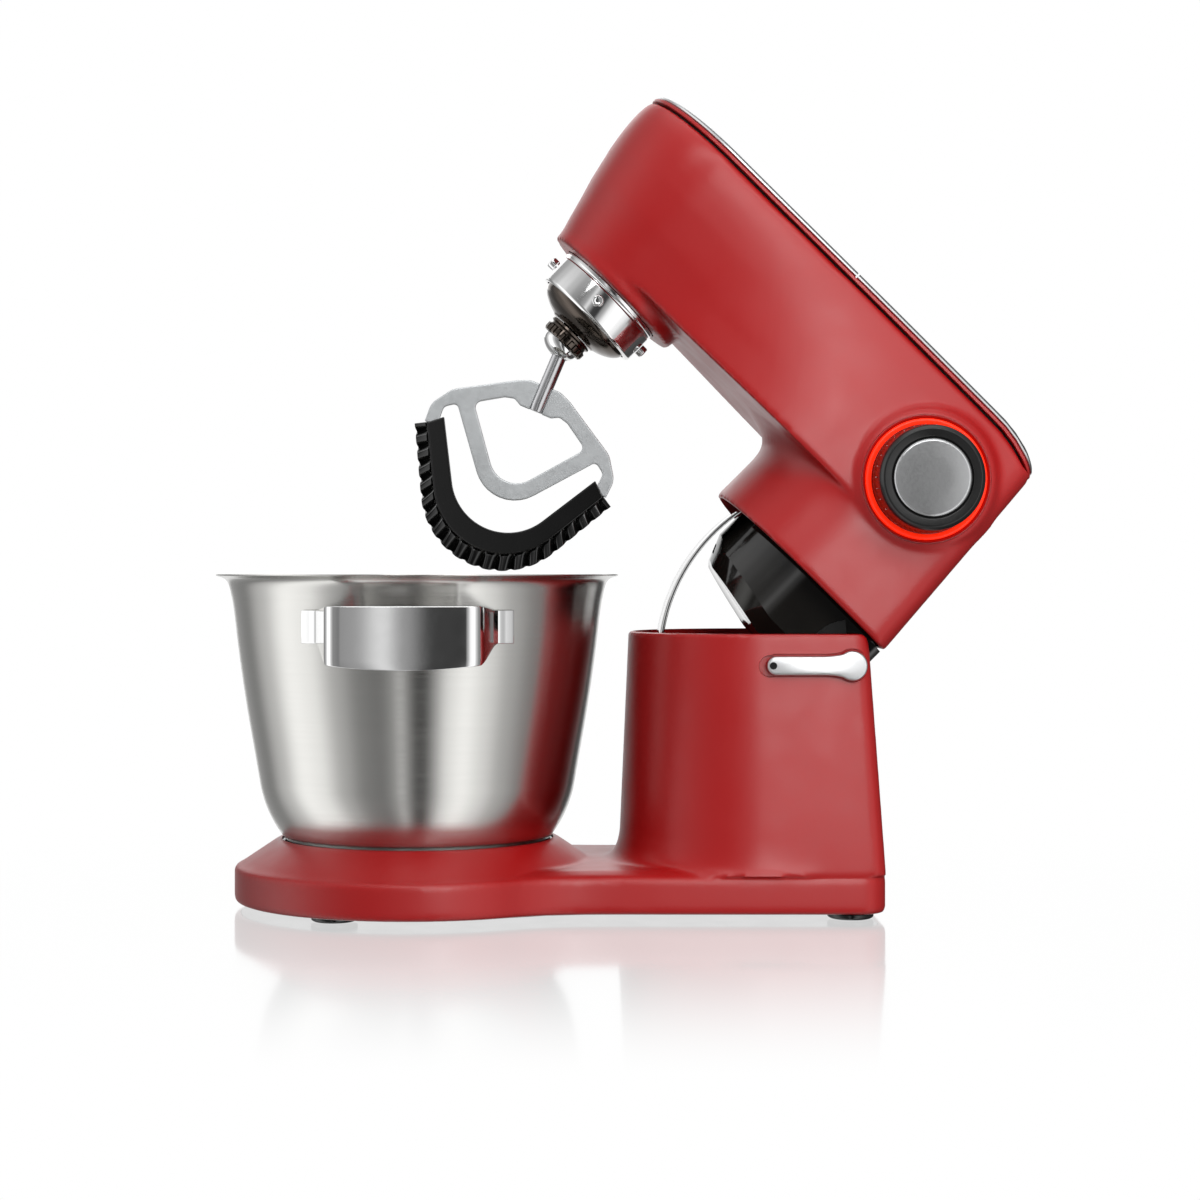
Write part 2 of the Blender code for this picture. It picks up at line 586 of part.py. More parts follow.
def make_arm_housing():
    bottom = [(z * MM, r * MM, w * MM) for z, r, w in ARM_LEVELS]
    outer = [level(arm_outline(z, r, w), z) for z, r, w in bottom]
    outer.append(level(arm_outline(ARM_TOP_Z, ARM_TOP_NOSE_R, ARM_TOP_HALF), lambda x: ARM_TOP_Z - top_drop(x)))
    housing = place(loft("arm_housing", outer), RED, ARM)
    wide, narrow = COLUMN_TOP_HALF - 0.5 * MM, ARM_LEVELS[0][2] * MM
    block = loft("arm_block", [
        level(block_outline(ARM_BOTTOM_Z, wide), ARM_BOTTOM_Z),
        level(block_outline(ARM_UNDERSIDE_Z, narrow + 0.1 * MM), ARM_UNDERSIDE_Z),
        level(block_outline(ARM_UNDERSIDE_Z + 15 * MM, narrow - 4 * MM), ARM_UNDERSIDE_Z + 15 * MM),
    ])
    join(housing, tool(block, ARM))
    nose = turned("arm_nose", [
        (0, NOSE_RIM_Z + 20 * MM), (NOSE_RIM_R, NOSE_RIM_Z + 20 * MM), (NOSE_RIM_R + 1.3 * MM, ARM_UNDERSIDE_Z),
        (NOSE_RIM_R, NOSE_RIM_Z), (0, NOSE_RIM_Z),
    ], 36)
    join(housing, tool(nose, ARM))
    inner = [level(arm_outline(z, r, w, ARM_WALL), z) for z, r, w in bottom[1:]]
    first_z = ARM_UNDERSIDE_Z + ARM_WALL
    inner.insert(0, level(arm_outline(first_z, bottom[0][1], bottom[0][2], ARM_WALL), first_z))
    inner.append(level(arm_outline(ARM_TOP_Z, ARM_TOP_NOSE_R, ARM_TOP_HALF, ARM_WALL), ARM_TOP_Z + 10 * MM))
    cut(housing, tool(loft("arm_inner", inner), ARM))
    block_inner = loft("block_inner", [
        level(block_outline(ARM_BOTTOM_Z, wide, ARM_WALL), ARM_BOTTOM_Z - 8 * MM),
        level(block_outline(ARM_UNDERSIDE_Z, narrow, ARM_WALL + 0.3 * MM), ARM_UNDERSIDE_Z + 8 * MM),
    ])
    cut(housing, tool(block_inner, ARM))
    bore = rod("hub_bore", (0, 0, NOSE_RIM_Z - 5 * MM), (0, 0, ARM_UNDERSIDE_Z + 8 * MM),
               HUB_RING_R + 0.7 * MM, segments=36)
    cut(housing, tool(bore, ARM))
    counterbore = rod("hub_counterbore", (0, 0, NOSE_RIM_Z + 4 * MM), (0, 0, ARM_UNDERSIDE_Z + 8 * MM), 46.2 * MM)
    cut(housing, tool(counterbore, ARM))
    hole = rod("dish_hole", (KNOB_X, -95 * MM, KNOB_Z), (KNOB_X, -50 * MM, KNOB_Z), DISH_R + 0.4 * MM, segments=36)
    cut(housing, tool(hole, ARM))


def make_arm_top():
    deck_top = ARM_TOP_Z + SEAM - 0.4 * MM
    deck = place(top_slab("top_deck", deck_top - 4 * MM, deck_top, ARM_WALL + 1 * MM), DARK_PLASTIC, ARM)
    trim_low = ARM_TOP_Z + SEAM
    trim = place(top_slab("top_trim", trim_low, trim_low + TRIM_THICKNESS, 0.0), RED, ARM)
    for name, x in (("front_outlet", 0.0), ("rear_outlet", MOTOR_X)):
        opening = tool(rod(name, (x, 0, ARM_TOP_Z - 20 * MM), (x, 0, ARM_TOP_Z + 20 * MM), OUTLET_R), ARM)
        cut(deck, opening)
        cut(trim, opening)
    lid_low = trim_low + TRIM_THICKNESS + GAP
    place(lid("front_lid", lid_low, end=LID_SPLIT_X - LID_GAP / 2), SATIN, ARM)
    place(lid("rear_lid", lid_low, start=LID_SPLIT_X + LID_GAP / 2), SATIN, ARM)


def lid(name, low, start=-1.0, end=1.0):
    """One lid: its outer edges are rounded down to a thin lip."""
    inset, lip, reach = 0.6 * MM, 1.2 * MM, 8 * MM
    nose, rear = -(ARM_TOP_NOSE_R - inset), arm_rear(ARM_TOP_Z) - inset

    def top(x):
        near_end = max(reach - (x - nose), reach - (rear - x), 0.0) / reach
        crown = (LID_THICKNESS - lip) * math.sqrt(max(1 - near_end**2, 0.0))
        return low + lip + max(crown, 0.2 * MM) - top_drop(x)

    return slab(
        name, top_half_width(inset), top_stations(start, end, inset),
        lambda x: low - top_drop(x), top, 5 * MM, lambda x: low + lip - top_drop(x),
    )


def tub_bottom(x):
    """The tub's underside, deepest under the motor."""
    stations = ((155, 146), (166, 137.5), (211, 128), (250, 128), (264, 130), (274, 138))
    for (x0, z0), (x1, z1) in zip(stations, stations[1:]):
        if x <= x1 * MM:
            break
    return (z0 + (z1 - z0) * (x - x0 * MM) / ((x1 - x0) * MM)) * MM


def tub_loft(name, inset):
    """The tub's closed shape; the inner one is inset by the wall and runs out through the rim."""

    def outline(front, rear, narrower=0.0):
        half = TUB_HALF_WIDTH - inset - narrower
        return half_outline(
            front + inset, COLUMN_CENTRE_X, half, rear - inset, half, 5 * MM, COLUMN_CENTRE_X + 20 * MM,
            arcs=6,
        )

    ledge = ARM_BOTTOM_Z - 0.6 * MM - inset
    neck = ARM_REAR_X - ARM_WALL - 1.9 * MM
    rim = 184 * MM if inset == 0 else 190 * MM
    return loft(name, [
        level(outline(TUB_FRONT_X + 7 * MM, ARM_REAR_X - 6 * MM, 9 * MM), lambda x: tub_bottom(x) + inset),
        level(outline(TUB_FRONT_X, ARM_REAR_X), lambda x: tub_bottom(x) + 11 * MM),
        level(outline(TUB_FRONT_X, ARM_REAR_X), ledge - 0.5 * MM),
        level(outline(TUB_FRONT_X, neck), ledge),
        level(outline(TUB_FRONT_X + 3.2 * MM, neck), rim),
    ])


def make_tub():
    tub = place(tub_loft("motor_tub", 0.0), GLOSS_BLACK, ARM)
    cut(tub, tool(tub_loft("tub_inner", TUB_WALL), ARM))
    hole = rod("pin_hole", (HINGE_X, -90 * MM, HINGE_Z), (HINGE_X, 90 * MM, HINGE_Z), HINGE_PIN_R + 0.8 * MM)
    cut(tub, tool(hole, ARM))


def make_hinge_bracket():
    """A bar across the tub, with a lug down to the hinge pin at each end."""
    back, half, lug = HINGE_X + 0.5 * MM, 54 * MM, 8 * MM
    bracket = box("hinge_bracket", (back - 11 * MM, -half, 174 * MM), (back, half, 183 * MM))
    place(bracket, CAST, ARM)
    for side, low in (("near", -half), ("far", half - lug)):
        web = box("lug_" + side, (back - 9 * MM, low, HINGE_Z), (back, low + lug, 178 * MM))
        join(bracket, tool(web, ARM))
        boss = rod("boss_" + side, (HINGE_X, low, HINGE_Z), (HINGE_X, low + lug, HINGE_Z), 5.6 * MM)
        join(bracket, tool(boss, ARM))
    bore = rod("bracket_bore", (HINGE_X, -80 * MM, HINGE_Z), (HINGE_X, 80 * MM, HINGE_Z), HINGE_PIN_R + GAP)
    cut(bracket, tool(bore, ARM))


def arc_band(inner, outer, start, end, count):
    """A band of a circle about the origin, between two angles in degrees."""
    angles = [math.radians(start + (end - start) * k / count) for k in range(count + 1)]
    outside = [(outer * math.cos(a), outer * math.sin(a)) for a in angles]
    inside = [(inner * math.cos(a), inner * math.sin(a)) for a in reversed(angles)]
    return outside + inside


def make_strap_and_latch():
    about_hinge = {"location": (HINGE_X, 0, HINGE_Z), "rotation": (math.pi / 2, 0, 0)}
    band = arc_band(STRAP_INNER_R, STRAP_INNER_R + STRAP_THICKNESS, 166, 232, 16)
    strap = plate("guard_strap", [band], 2 * STRAP_HALF_WIDTH)
    place(strap, STEEL, ARM, **about_hinge)
    sector = plate("latch_sector", [arc_band(12 * MM, 27 * MM, 140, 232, 10)], 2.2 * MM)
    place(sector, DARK_PLASTIC, ARM, (HINGE_X, -63.9 * MM, HINGE_Z), (math.pi / 2, 0, 0))


def make_knob():
    dish = turned("knob_dish", [
        (DISH_R, 3.5 * MM), (DISH_R, -3 * MM), (5 * MM, -3 * MM), (5 * MM, 0), (DISH_R - 2 * MM, 0),
        (DISH_R - 1 * MM, 3.5 * MM),
    ], 36, closed=True)
    outwards = (math.pi / 2, 0, 0)
    place(dish, RED, ARM, (KNOB_X, DISH_Y, KNOB_Z), outwards)
    light = ring("light_ring", LIGHT_RING_R - 3.4 * MM, LIGHT_RING_R, GAP, 4 * MM, 36)
    place(light, LIGHT, ARM, (KNOB_X, DISH_Y, KNOB_Z), outwards)
    switch = rod("speed_switch", (KNOB_X, DISH_Y + 4 * MM, KNOB_Z), (KNOB_X, DISH_Y + 24 * MM, KNOB_Z), 14 * MM)
    place(switch, DARK_PLASTIC, ARM)
    pivot = empty("knob_axis", ARM, (KNOB_X, DISH_Y, KNOB_Z), outwards)
    reach = DISH_Y - KNOB_FACE_Y
    grip = turned("knob_grip", [
        (0, reach - 2 * MM), (KNOB_CAP_R + 0.6 * MM, reach - 2 * MM), (KNOB_CAP_R + 1.4 * MM, reach),
        (KNOB_R - 1.5 * MM, reach), (KNOB_R, reach - 2 * MM), (KNOB_R, 9 * MM), (KNOB_R - 2.5 * MM, 2 * MM),
        (4 * MM, 2 * MM), (4 * MM, -3.6 * MM), (0, -3.6 * MM),
    ], 28)
    place(grip, DARK_PLASTIC, pivot)
    cap = turned("knob_cap", [
        (0, reach + 0.6 * MM), (KNOB_CAP_R - 2 * MM, reach), (KNOB_CAP_R, reach - 0.8 * MM),
        (KNOB_CAP_R, reach - 1.7 * MM), (0, reach - 1.7 * MM),
    ], 32)
    place(cap, SATIN, pivot)


# ---------------------------------------------------------------- drive


def gear_rings(teeth, pitch_r, phase, out=1.0):
    """One gear outline, four points a tooth; out is -1 for teeth that point inwards."""
    points = []
    high, low = TOOTH_HEIGHT * 0.4 * out, -TOOTH_HEIGHT * 0.6 * out
    for k in range(teeth):
        for share, height in ((-0.3, low), (-0.13, high), (0.13, high), (0.3, low)):
            angle = phase + 2 * math.pi * (k + share) / teeth
            points.append(((pitch_r + height) * math.cos(angle), (pitch_r + height) * math.sin(angle)))
    return points


def bridge_rings(name, rings, closed_loop):
    """Skin rings of equal counts; a closed loop of rings is a tube wall, an open one is capped."""
    shape = bmesh.new()
    made = [[shape.verts.new(p) for p in points] for points in rings]
    pairs = list(zip(made, made[1:]))
    if closed_loop:
        pairs.append((made[-1], made[0]))
    else:
        shape.faces.new(made[0])
        shape.faces.new(made[-1])
    count = len(made[0])
    for low, high in pairs:
        for k in range(count):
            shape.faces.new((low[k], low[(k + 1) % count], high[(k + 1) % count], high[k]))
    return object_from_bmesh(name, shape)


def cone_angles():
    """Half-angles of the two pitch cones, from the tooth ratio and the angle between the axes."""
    ratio = RING_TEETH / PINION_TEETH
    pinion = math.atan(math.sin(TOOL_TILT) / (ratio - math.cos(TOOL_TILT)))
    return pinion, pinion + TOOL_TILT


def make_gears(tool_frame):
    pinion_cone, ring_cone = cone_angles()
    rings = []
    for distance in (PINION_NEAR, PINION_FAR):
        pitch = distance * math.tan(pinion_cone)
        rings.append([(x, y, distance) for x, y in gear_rings(PINION_TEETH, pitch, math.pi)])
    place(bridge_rings("planet_pinion", rings, False), STEEL, tool_frame)
    walls = []
    outer_r = 45.5 * MM
    slant = [d / math.cos(pinion_cone) for d in (PINION_NEAR - 1 * MM, PINION_FAR + 1 * MM)]
    for distance in slant:
        pitch, z = distance * math.sin(ring_cone), TOOL_APEX_Z + distance * math.cos(ring_cone)
        phase = math.pi + math.pi / RING_TEETH
        walls.append([(x, y, z) for x, y in gear_rings(RING_TEETH, pitch, phase, out=-1.0)])
    for distance in reversed(slant):
        z = TOOL_APEX_Z + distance * math.cos(ring_cone)
        walls.append([(outer_r * x / math.hypot(x, y), outer_r * y / math.hypot(x, y), z) for x, y, _ in walls[0]])
    place(bridge_rings("ring_gear", walls, True), CAST, ARM)


def make_hub():
    top = NOSE_RIM_Z - 0.4 * MM
    collar = turned("hub_collar", [
        (HUB_RING_R, top), (HUB_RING_R, HUB_RING_BOTTOM_Z + 1 * MM), (HUB_RING_R - 1 * MM, HUB_RING_BOTTOM_Z),
        (33.4 * MM, HUB_RING_BOTTOM_Z), (33.4 * MM, top),
    ], 36, closed=True)
    place(collar, POLISHED, ARM)
    for name, angle in (("front", 180), ("near", 270), ("rear", 0), ("far", 90)):
        c, s = math.cos(math.radians(angle)), math.sin(math.radians(angle))
        inner, outer, z = HUB_RING_R + GAP, HUB_RING_R + 4.4 * MM, HUB_RING_BOTTOM_Z + 11 * MM
        pin = rod("collar_pin_" + name, (inner * c, inner * s, z), (outer * c, outer * s, z), 3.6 * MM, segments=14)
        place(pin, POLISHED, ARM)
    tool_frame = empty("tool_axis", ARM, (0, 0, TOOL_APEX_Z), (0, -TOOL_TILT, 0))
    bore = tool(rod("spindle_bore", (0, 0, -25 * MM), (0, 0, 60 * MM), SPINDLE_R + RUNNING), tool_frame)
    dome = turned("hub_dome", [
        (0, 208 * MM), (31.5 * MM, 208 * MM), (32.6 * MM, 196 * MM), (32.6 * MM, 191 * MM), (29.6 * MM, 187 * MM),
        (23 * MM, 183 * MM), (17 * MM, DOME_BOTTOM_Z), (0, DOME_BOTTOM_Z),
    ], 36)
    cut(place(dome, DARK_METAL, ARM), bore)
    ribbed = turned("tool_collar", [
        (0, DOME_BOTTOM_Z - GAP), (RIBBED_COLLAR_R, DOME_BOTTOM_Z - GAP), (RIBBED_COLLAR_R - 0.6 * MM, RIBBED_COLLAR_Z),
        (0, RIBBED_COLLAR_Z),
    ], 24)
    cut(place(ribbed, DARK_PLASTIC, ARM), bore)
    depth = RIBBED_COLLAR_Z - GAP - BALL_BOTTOM_Z
    cap_profile = [(0, RIBBED_COLLAR_Z - GAP)] + [
        (BALL_R * math.cos(a), RIBBED_COLLAR_Z - GAP - depth * math.sin(a))
        for a in [math.pi / 2 * k / 6 for k in range(7)]
    ]
    cap_profile[-1] = (0, BALL_BOTTOM_Z)
    cut(place(turned("hub_cap", cap_profile, 28), SATIN, ARM), bore)
    shaft = rod("hub_shaft", (0, 0, 208.4 * MM), (0, 0, 300 * MM), 6 * MM)
    place(shaft, STEEL, ARM)
    pulley = ring("hub_pulley", 6.3 * MM, HUB_PULLEY_R, BELT_Z - 6 * MM, BELT_Z + 6 * MM, 36)
    place(pulley, CAST, ARM)
    coupling = turned("front_coupling", [
        (0, 309 * MM), (5 * MM, 309 * MM), (9 * MM, 306 * MM), (9 * MM, 300.4 * MM), (0, 300.4 * MM),
    ], 16)
    place(coupling, DARK_PLASTIC, ARM)
    plate_outline = [(x, y) for x, y in circle(0, 0, 44 * MM, 28)]
    bearing = plate("gear_plate", [plate_outline, circle(0, 0, 6.4 * MM, 20)], 6 * MM)
    place(bearing, CAST, ARM, (0, 0, 246 * MM))
    return tool_frame


def make_spindle(tool_frame):
    spindle = rod("tool_spindle", (0, 0, -1.6 * MM), (0, 0, PINION_NEAR - GAP), SPINDLE_R)
    socket = rod("spindle_socket", (0, 0, -5 * MM), (0, 0, 20 * MM), SPIGOT_R + RUNNING, segments=16)
    cut(place(spindle, STEEL, tool_frame), tool(socket, tool_frame))
    make_gears(tool_frame)


def smooth_band(apex, slope, radius, top_half, count=9):
    """Half of a U-shaped edge: down a straight side, then round a bottom arc centred on the axis."""
    tilt = math.atan(slope)
    centre = apex - radius / math.sin(tilt)
    points = [(top_half, -(apex - top_half / slope))]
    for k in range(count + 1):
        angle = tilt + (math.pi / 2 - tilt) * k / count
        points.append((radius * math.cos(angle), -(centre + radius * math.sin(angle))))
    points[-1] = (0.0, points[-1][1])
    return points


def both_sides(half):
    """A half edge that ends on the axis, and its mirror image back up."""
    return half + [(-x, y) for x, y in reversed(half[:-1])]


def blade_outline():
    """U-shaped edges of the scraper, in millimetres: the inner one, the frame's and the outer one."""
    return {
        "inner": smooth_band(166.8, 0.57, 35.8, 50.8),
        "frame_edge": smooth_band(180.0, 0.57, 42.5, 57.5),
        "blade_edge": smooth_band(180.7, 0.57, 42.8, 57.9),
        "outer": smooth_band(213.5, 0.53, 51.5, 67.0),
    }


def make_beater(tool_frame):
    edges = blade_outline()
    frame_outer = rounded(mirrored([
        (0, -33.4, 0), (11, -33.4, 6), (53.5, -57, 13), (62.6, -70, 10), (61.5, -79.1, 0),
    ]), 4)
    right = [p for p in frame_outer if p[0] > 0 or p == frame_outer[0]]
    left = [(-x, y) for x, y in reversed(right[1:])]
    below = both_sides(edges["frame_edge"])
    outline = right + below + left
    upper = rounded(mirrored([
        (0, -50.6, 0), (9, -50.6, 0), (15, -48, 3), (21, -49.4, 2), (38.6, -60.4, 3), (0, -108, 17),
    ]), 4)
    lower_sides = both_sides(edges["inner"])
    lower_top = rounded([(-54, -77.5, 0), (-54.4, -70, 5), (-47.4, -65, 3), (0, -124, 25), (47.4, -65, 3),
                         (54.4, -70, 5), (54, -77.5, 0)], 6)
    lower = lower_sides + lower_top
    scale = [[(x * MM, y * MM) for x, y in points] for points in (outline, upper, lower)]
    upright = (math.pi / 2, 0, 0)
    frame = solid_plate("beater_frame", scale, BEATER_THICKNESS)
    place(frame, CAST, tool_frame, rotation=upright)
    shaft_end = -50.4 * MM
    shaft = rod("beater_shaft", (0, 0, -2 * MM), (0, 0, shaft_end), BEATER_SHAFT_R)
    spigot = rod("beater_spigot", (0, 0, -4 * MM), (0, 0, 14 * MM), SPIGOT_R, segments=16)
    join(shaft, tool(spigot, tool_frame))
    place(shaft, STEEL, tool_frame)
    clearance = rod("shaft_slot", (0, 0, 0), (0, 0, shaft_end - 4 * MM), BEATER_SHAFT_R + GAP)
    cut(frame, tool(clearance, tool_frame))
    blade = both_sides(edges["blade_edge"]) + list(reversed(both_sides(edges["outer"])))
    scraper = plate("scraper_blade", [[(x * MM, y * MM) for x, y in blade]], BLADE_THICKNESS)
    place(scraper, RUBBER, tool_frame, rotation=upright)


def belt_outline(grow):
    """A loop round both pulleys, grown outwards."""
    big, small = HUB_PULLEY_R + GAP + grow, MOTOR_PULLEY_R + GAP + grow
    lean = math.acos((big - small) / MOTOR_X)
    points = []
    for k in range(17):
        angle = lean + (2 * math.pi - 2 * lean) * k / 16
        points.append((big * math.cos(angle), big * math.sin(angle)))
    for k in range(9):
        angle = -lean + 2 * lean * k / 8
        points.append((MOTOR_X + small * math.cos(angle), small * math.sin(angle)))
    return points


def make_motor():
    belt = plate("drive_belt", [belt_outline(BELT_THICKNESS), belt_outline(0.0)], BELT_WIDTH)
    place(belt, RUBBER, ARM, (0, 0, BELT_Z))
    axis = empty("motor_axis", ARM, (MOTOR_X, 0, 0))
    rotor = turned("motor_rotor", [
        (0, 300 * MM), (3 * MM, 300 * MM), (3 * MM, 232 * MM), (20 * MM, 232 * MM), (20 * MM, 168 * MM),
        (3 * MM, 168 * MM), (3 * MM, 142 * MM), (0, 142 * MM),
    ], 24)
    place(rotor, STEEL, axis)
    place(ring("motor_stator", 21 * MM, 40 * MM, 170 * MM, 230 * MM, 24), CAST, axis)
    pulley = ring("motor_pulley", 3.3 * MM, MOTOR_PULLEY_R, BELT_Z - 6 * MM, BELT_Z + 6 * MM, 24)
    place(pulley, CAST, axis)


# ---------------------------------------------------------------- bowl


def bowl_arc(radius, count=6):
    """The bowl's bottom arc from the wall down to the flat, for its inner or outer radius."""
    centre_z = BOWL_BOTTOM_Z + BOWL_BOTTOM_R
    top = math.radians(10.4)
    points = []
    for k in range(count + 1):
        angle = top + (math.pi / 2 - top) * k / count
        points.append((BOWL_FLAT_R + radius * math.cos(angle), centre_z - radius * math.sin(angle)))
    return points


def make_bowl():
    side = [(r * MM, z * MM) for r, z in reversed(BOWL_SIDE)]
    outer = [(BOWL_RIM_R, BOWL_RIM_Z), (BOWL_RIM_R - 0.4 * MM, BOWL_RIM_Z - BOWL_WALL)] + side[:-1]
    inner = [(r - BOWL_WALL, z) for r, z in side]
    inner[0] = (inner[0][0], inner[0][1] + BOWL_WALL)
    profile = outer + bowl_arc(BOWL_BOTTOM_R) + [(0, BOWL_BOTTOM_Z), (0, BOWL_BOTTOM_Z + BOWL_WALL)]
    profile += list(reversed(bowl_arc(BOWL_BOTTOM_R - BOWL_WALL))) + list(reversed(inner[:-1]))
    bowl = turned("bowl_shell", profile, 40, closed=True)
    place(bowl, BRUSHED, BASE)
    foot = turned("bowl_foot", [
        (FOOT_RING_R - 4 * MM, BOWL_BOTTOM_Z + 0.3 * MM), (FOOT_RING_R + 4 * MM, BOWL_BOTTOM_Z + 1.8 * MM),
        (FOOT_RING_R + 4 * MM, 9.3 * MM), (FOOT_RING_R - 4 * MM, 9.3 * MM),
    ], 36, closed=True)
    place(foot, BRUSHED, BASE)
    for name, turn in (("bowl_handle_near", 0.0), ("bowl_handle_far", math.pi)):
        place(handle_strip(name), POLISHED, BASE, rotation=(0, 0, turn))


def handle_strip(name):
    """A bent strip on the -Y side: a tab at each end, two sides that come forward, a bowed front."""
    middle = HANDLE_TOP_Z - HANDLE_HEIGHT / 2
    right = []
    for k in range(4):
        x = HANDLE_HALF * k / 3
        right.append((x, -HANDLE_REACH + 2.2 * MM * (k / 3) ** 2, HANDLE_HEIGHT))
    right.append((HANDLE_HALF + 3 * MM, -HANDLE_REACH + 6 * MM, HANDLE_HEIGHT * 0.94))
    tab_y = -math.sqrt(HANDLE_R**2 - HANDLE_TAB_INNER**2)
    right.append((HANDLE_TAB_INNER - 1 * MM, tab_y - 3 * MM, HANDLE_TAB_HEIGHT * 1.12))
    right.append((HANDLE_TAB_INNER + 1 * MM, tab_y, HANDLE_TAB_HEIGHT))
    right.append((HANDLE_TAB_OUTER, -math.sqrt(HANDLE_R**2 - HANDLE_TAB_OUTER**2), HANDLE_TAB_HEIGHT))
    path = [(-x, y, h) for x, y, h in reversed(right[1:])] + right
    shape = bmesh.new()
    rows = []
    for x, y, height in path:
        top = middle + height / 2 if height > HANDLE_HEIGHT * 0.9 else middle + 4 * MM + height / 2
        rows.append([shape.verts.new((x, y, top)), shape.verts.new((x, y, top - height))])
    for near, far in zip(rows, rows[1:]):
        shape.faces.new((near[0], far[0], far[1], near[1]))
    strip = object_from_bmesh(name, shape)
    wall = strip.modifiers.new("strip", "SOLIDIFY")
    wall.thickness, wall.offset = HANDLE_STRIP, 0.0
    return strip


# ---------------------------------------------------------------- the mixer

clear_scene()
PARTS = collection("stand_mixer")
CUTTERS = collection("cutters")

RED = material("red_paint", (0.42, 0.012, 0.016), 0.32)
BRUSHED = material("brushed_steel", (0.62, 0.61, 0.59), 0.3, 1.0)
POLISHED = material("polished_steel", (0.78, 0.78, 0.78), 0.08, 1.0)
SATIN = material("satin_silver", (0.66, 0.66, 0.67), 0.35, 1.0)
STEEL = material("plain_steel", (0.55, 0.55, 0.56), 0.25, 1.0)
CAST = material("cast_aluminium", (0.6, 0.62, 0.64), 0.5, 0.6)
DARK_METAL = material("dark_metal", (0.06, 0.05, 0.045), 0.2, 1.0)
DARK_PLASTIC = material("dark_plastic", (0.02, 0.02, 0.02), 0.4)
GLOSS_BLACK = material("gloss_black", (0.01, 0.01, 0.01), 0.08)
RUBBER = material("black_rubber", (0.012, 0.012, 0.012), 0.5)
LIGHT = material("light_ring", (0.85, 0.05, 0.02), 0.3)

BASE = empty("mixer_frame", None, (ORIGIN_X, 0, 0))
ARM_HINGE = empty("arm_hinge", BASE, (HINGE_X, 0, HINGE_Z), (0, TILT, 0))
ARM = empty("arm_lowered", ARM_HINGE, (-HINGE_X, 0, -HINGE_Z))

make_base_housing()
make_base_fittings()
make_hinge()
make_lever()
make_arm_housing()
make_arm_top()
make_tub()
make_hinge_bracket()
make_strap_and_latch()
make_knob()
TOOL_FRAME = make_hub()
make_spindle(TOOL_FRAME)
make_beater(TOOL_FRAME)
make_motor()
make_bowl()
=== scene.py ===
"""Looks for the tilt-head stand mixer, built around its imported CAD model, in metres.

Arm pieces are drawn with the arm lowered, in millimetres, with x measured from the bowl's axis, and the
matrix ARM turns them up to the rest pose.
"""

import json
import math

import bmesh
import bpy
from mathutils import Matrix, Vector


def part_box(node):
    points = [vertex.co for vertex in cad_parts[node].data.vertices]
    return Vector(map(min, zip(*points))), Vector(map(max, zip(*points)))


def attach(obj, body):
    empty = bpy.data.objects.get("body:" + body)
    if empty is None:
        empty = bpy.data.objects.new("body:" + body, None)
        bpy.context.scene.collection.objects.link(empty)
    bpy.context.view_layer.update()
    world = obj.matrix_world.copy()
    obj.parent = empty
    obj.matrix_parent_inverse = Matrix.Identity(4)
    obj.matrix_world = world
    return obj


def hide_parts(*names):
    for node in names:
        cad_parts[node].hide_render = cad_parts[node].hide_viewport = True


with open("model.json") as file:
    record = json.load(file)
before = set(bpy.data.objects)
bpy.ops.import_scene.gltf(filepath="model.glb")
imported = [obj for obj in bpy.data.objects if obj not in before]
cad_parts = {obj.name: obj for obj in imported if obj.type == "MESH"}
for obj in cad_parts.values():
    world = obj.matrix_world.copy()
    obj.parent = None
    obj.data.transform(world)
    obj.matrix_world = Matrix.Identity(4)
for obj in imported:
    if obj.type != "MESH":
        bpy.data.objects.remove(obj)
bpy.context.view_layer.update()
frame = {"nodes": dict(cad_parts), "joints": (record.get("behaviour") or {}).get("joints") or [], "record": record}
NODES = frame["nodes"]
MM = 0.001


def joint(name):
    return next(j for j in frame["joints"] if j["name"] == name)


BOWL_LOW, BOWL_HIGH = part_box("bowl_shell")
BOWL_X = (BOWL_LOW.x + BOWL_HIGH.x) / 2 / MM
HINGE = Vector(joint("arm_tilt")["pos_m"]) / MM
HINGE_X = HINGE.x - BOWL_X
HINGE_Z = HINGE.z
FROM_MM = Matrix.Scale(MM, 4)
BASE = FROM_MM @ Matrix.Translation((BOWL_X, 0, 0))
ARM_TILT, TOOL_TILT = 45, 22  # degrees at rest
ARM = (
    FROM_MM @ Matrix.Translation(HINGE) @ Matrix.Rotation(math.radians(ARM_TILT), 4, "Y")
    @ Matrix.Translation((-HINGE_X, 0, -HINGE_Z))
)
TOOL_APEX_Z = 175.8  # where the tool's axis crosses the hub's
TOOL = ARM @ Matrix.Translation((0, 0, TOOL_APEX_Z)) @ Matrix.Rotation(math.radians(-TOOL_TILT), 4, "Y")
KNOB_X, KNOB_Z, DISH_Y = 217.3, 263.3, -75.5
KNOB = ARM @ Matrix.Translation((KNOB_X, DISH_Y, KNOB_Z)) @ Matrix.Rotation(math.pi / 2, 4, "X")

# ---------------------------------------------------------------- materials


def node(tree, kind, inputs=None, **settings):
    made = tree.nodes.new(kind)
    for key, value in settings.items():
        setattr(made, key, value)
    for key, value in (inputs or {}).items():
        made.inputs[key].default_value = value
    return made


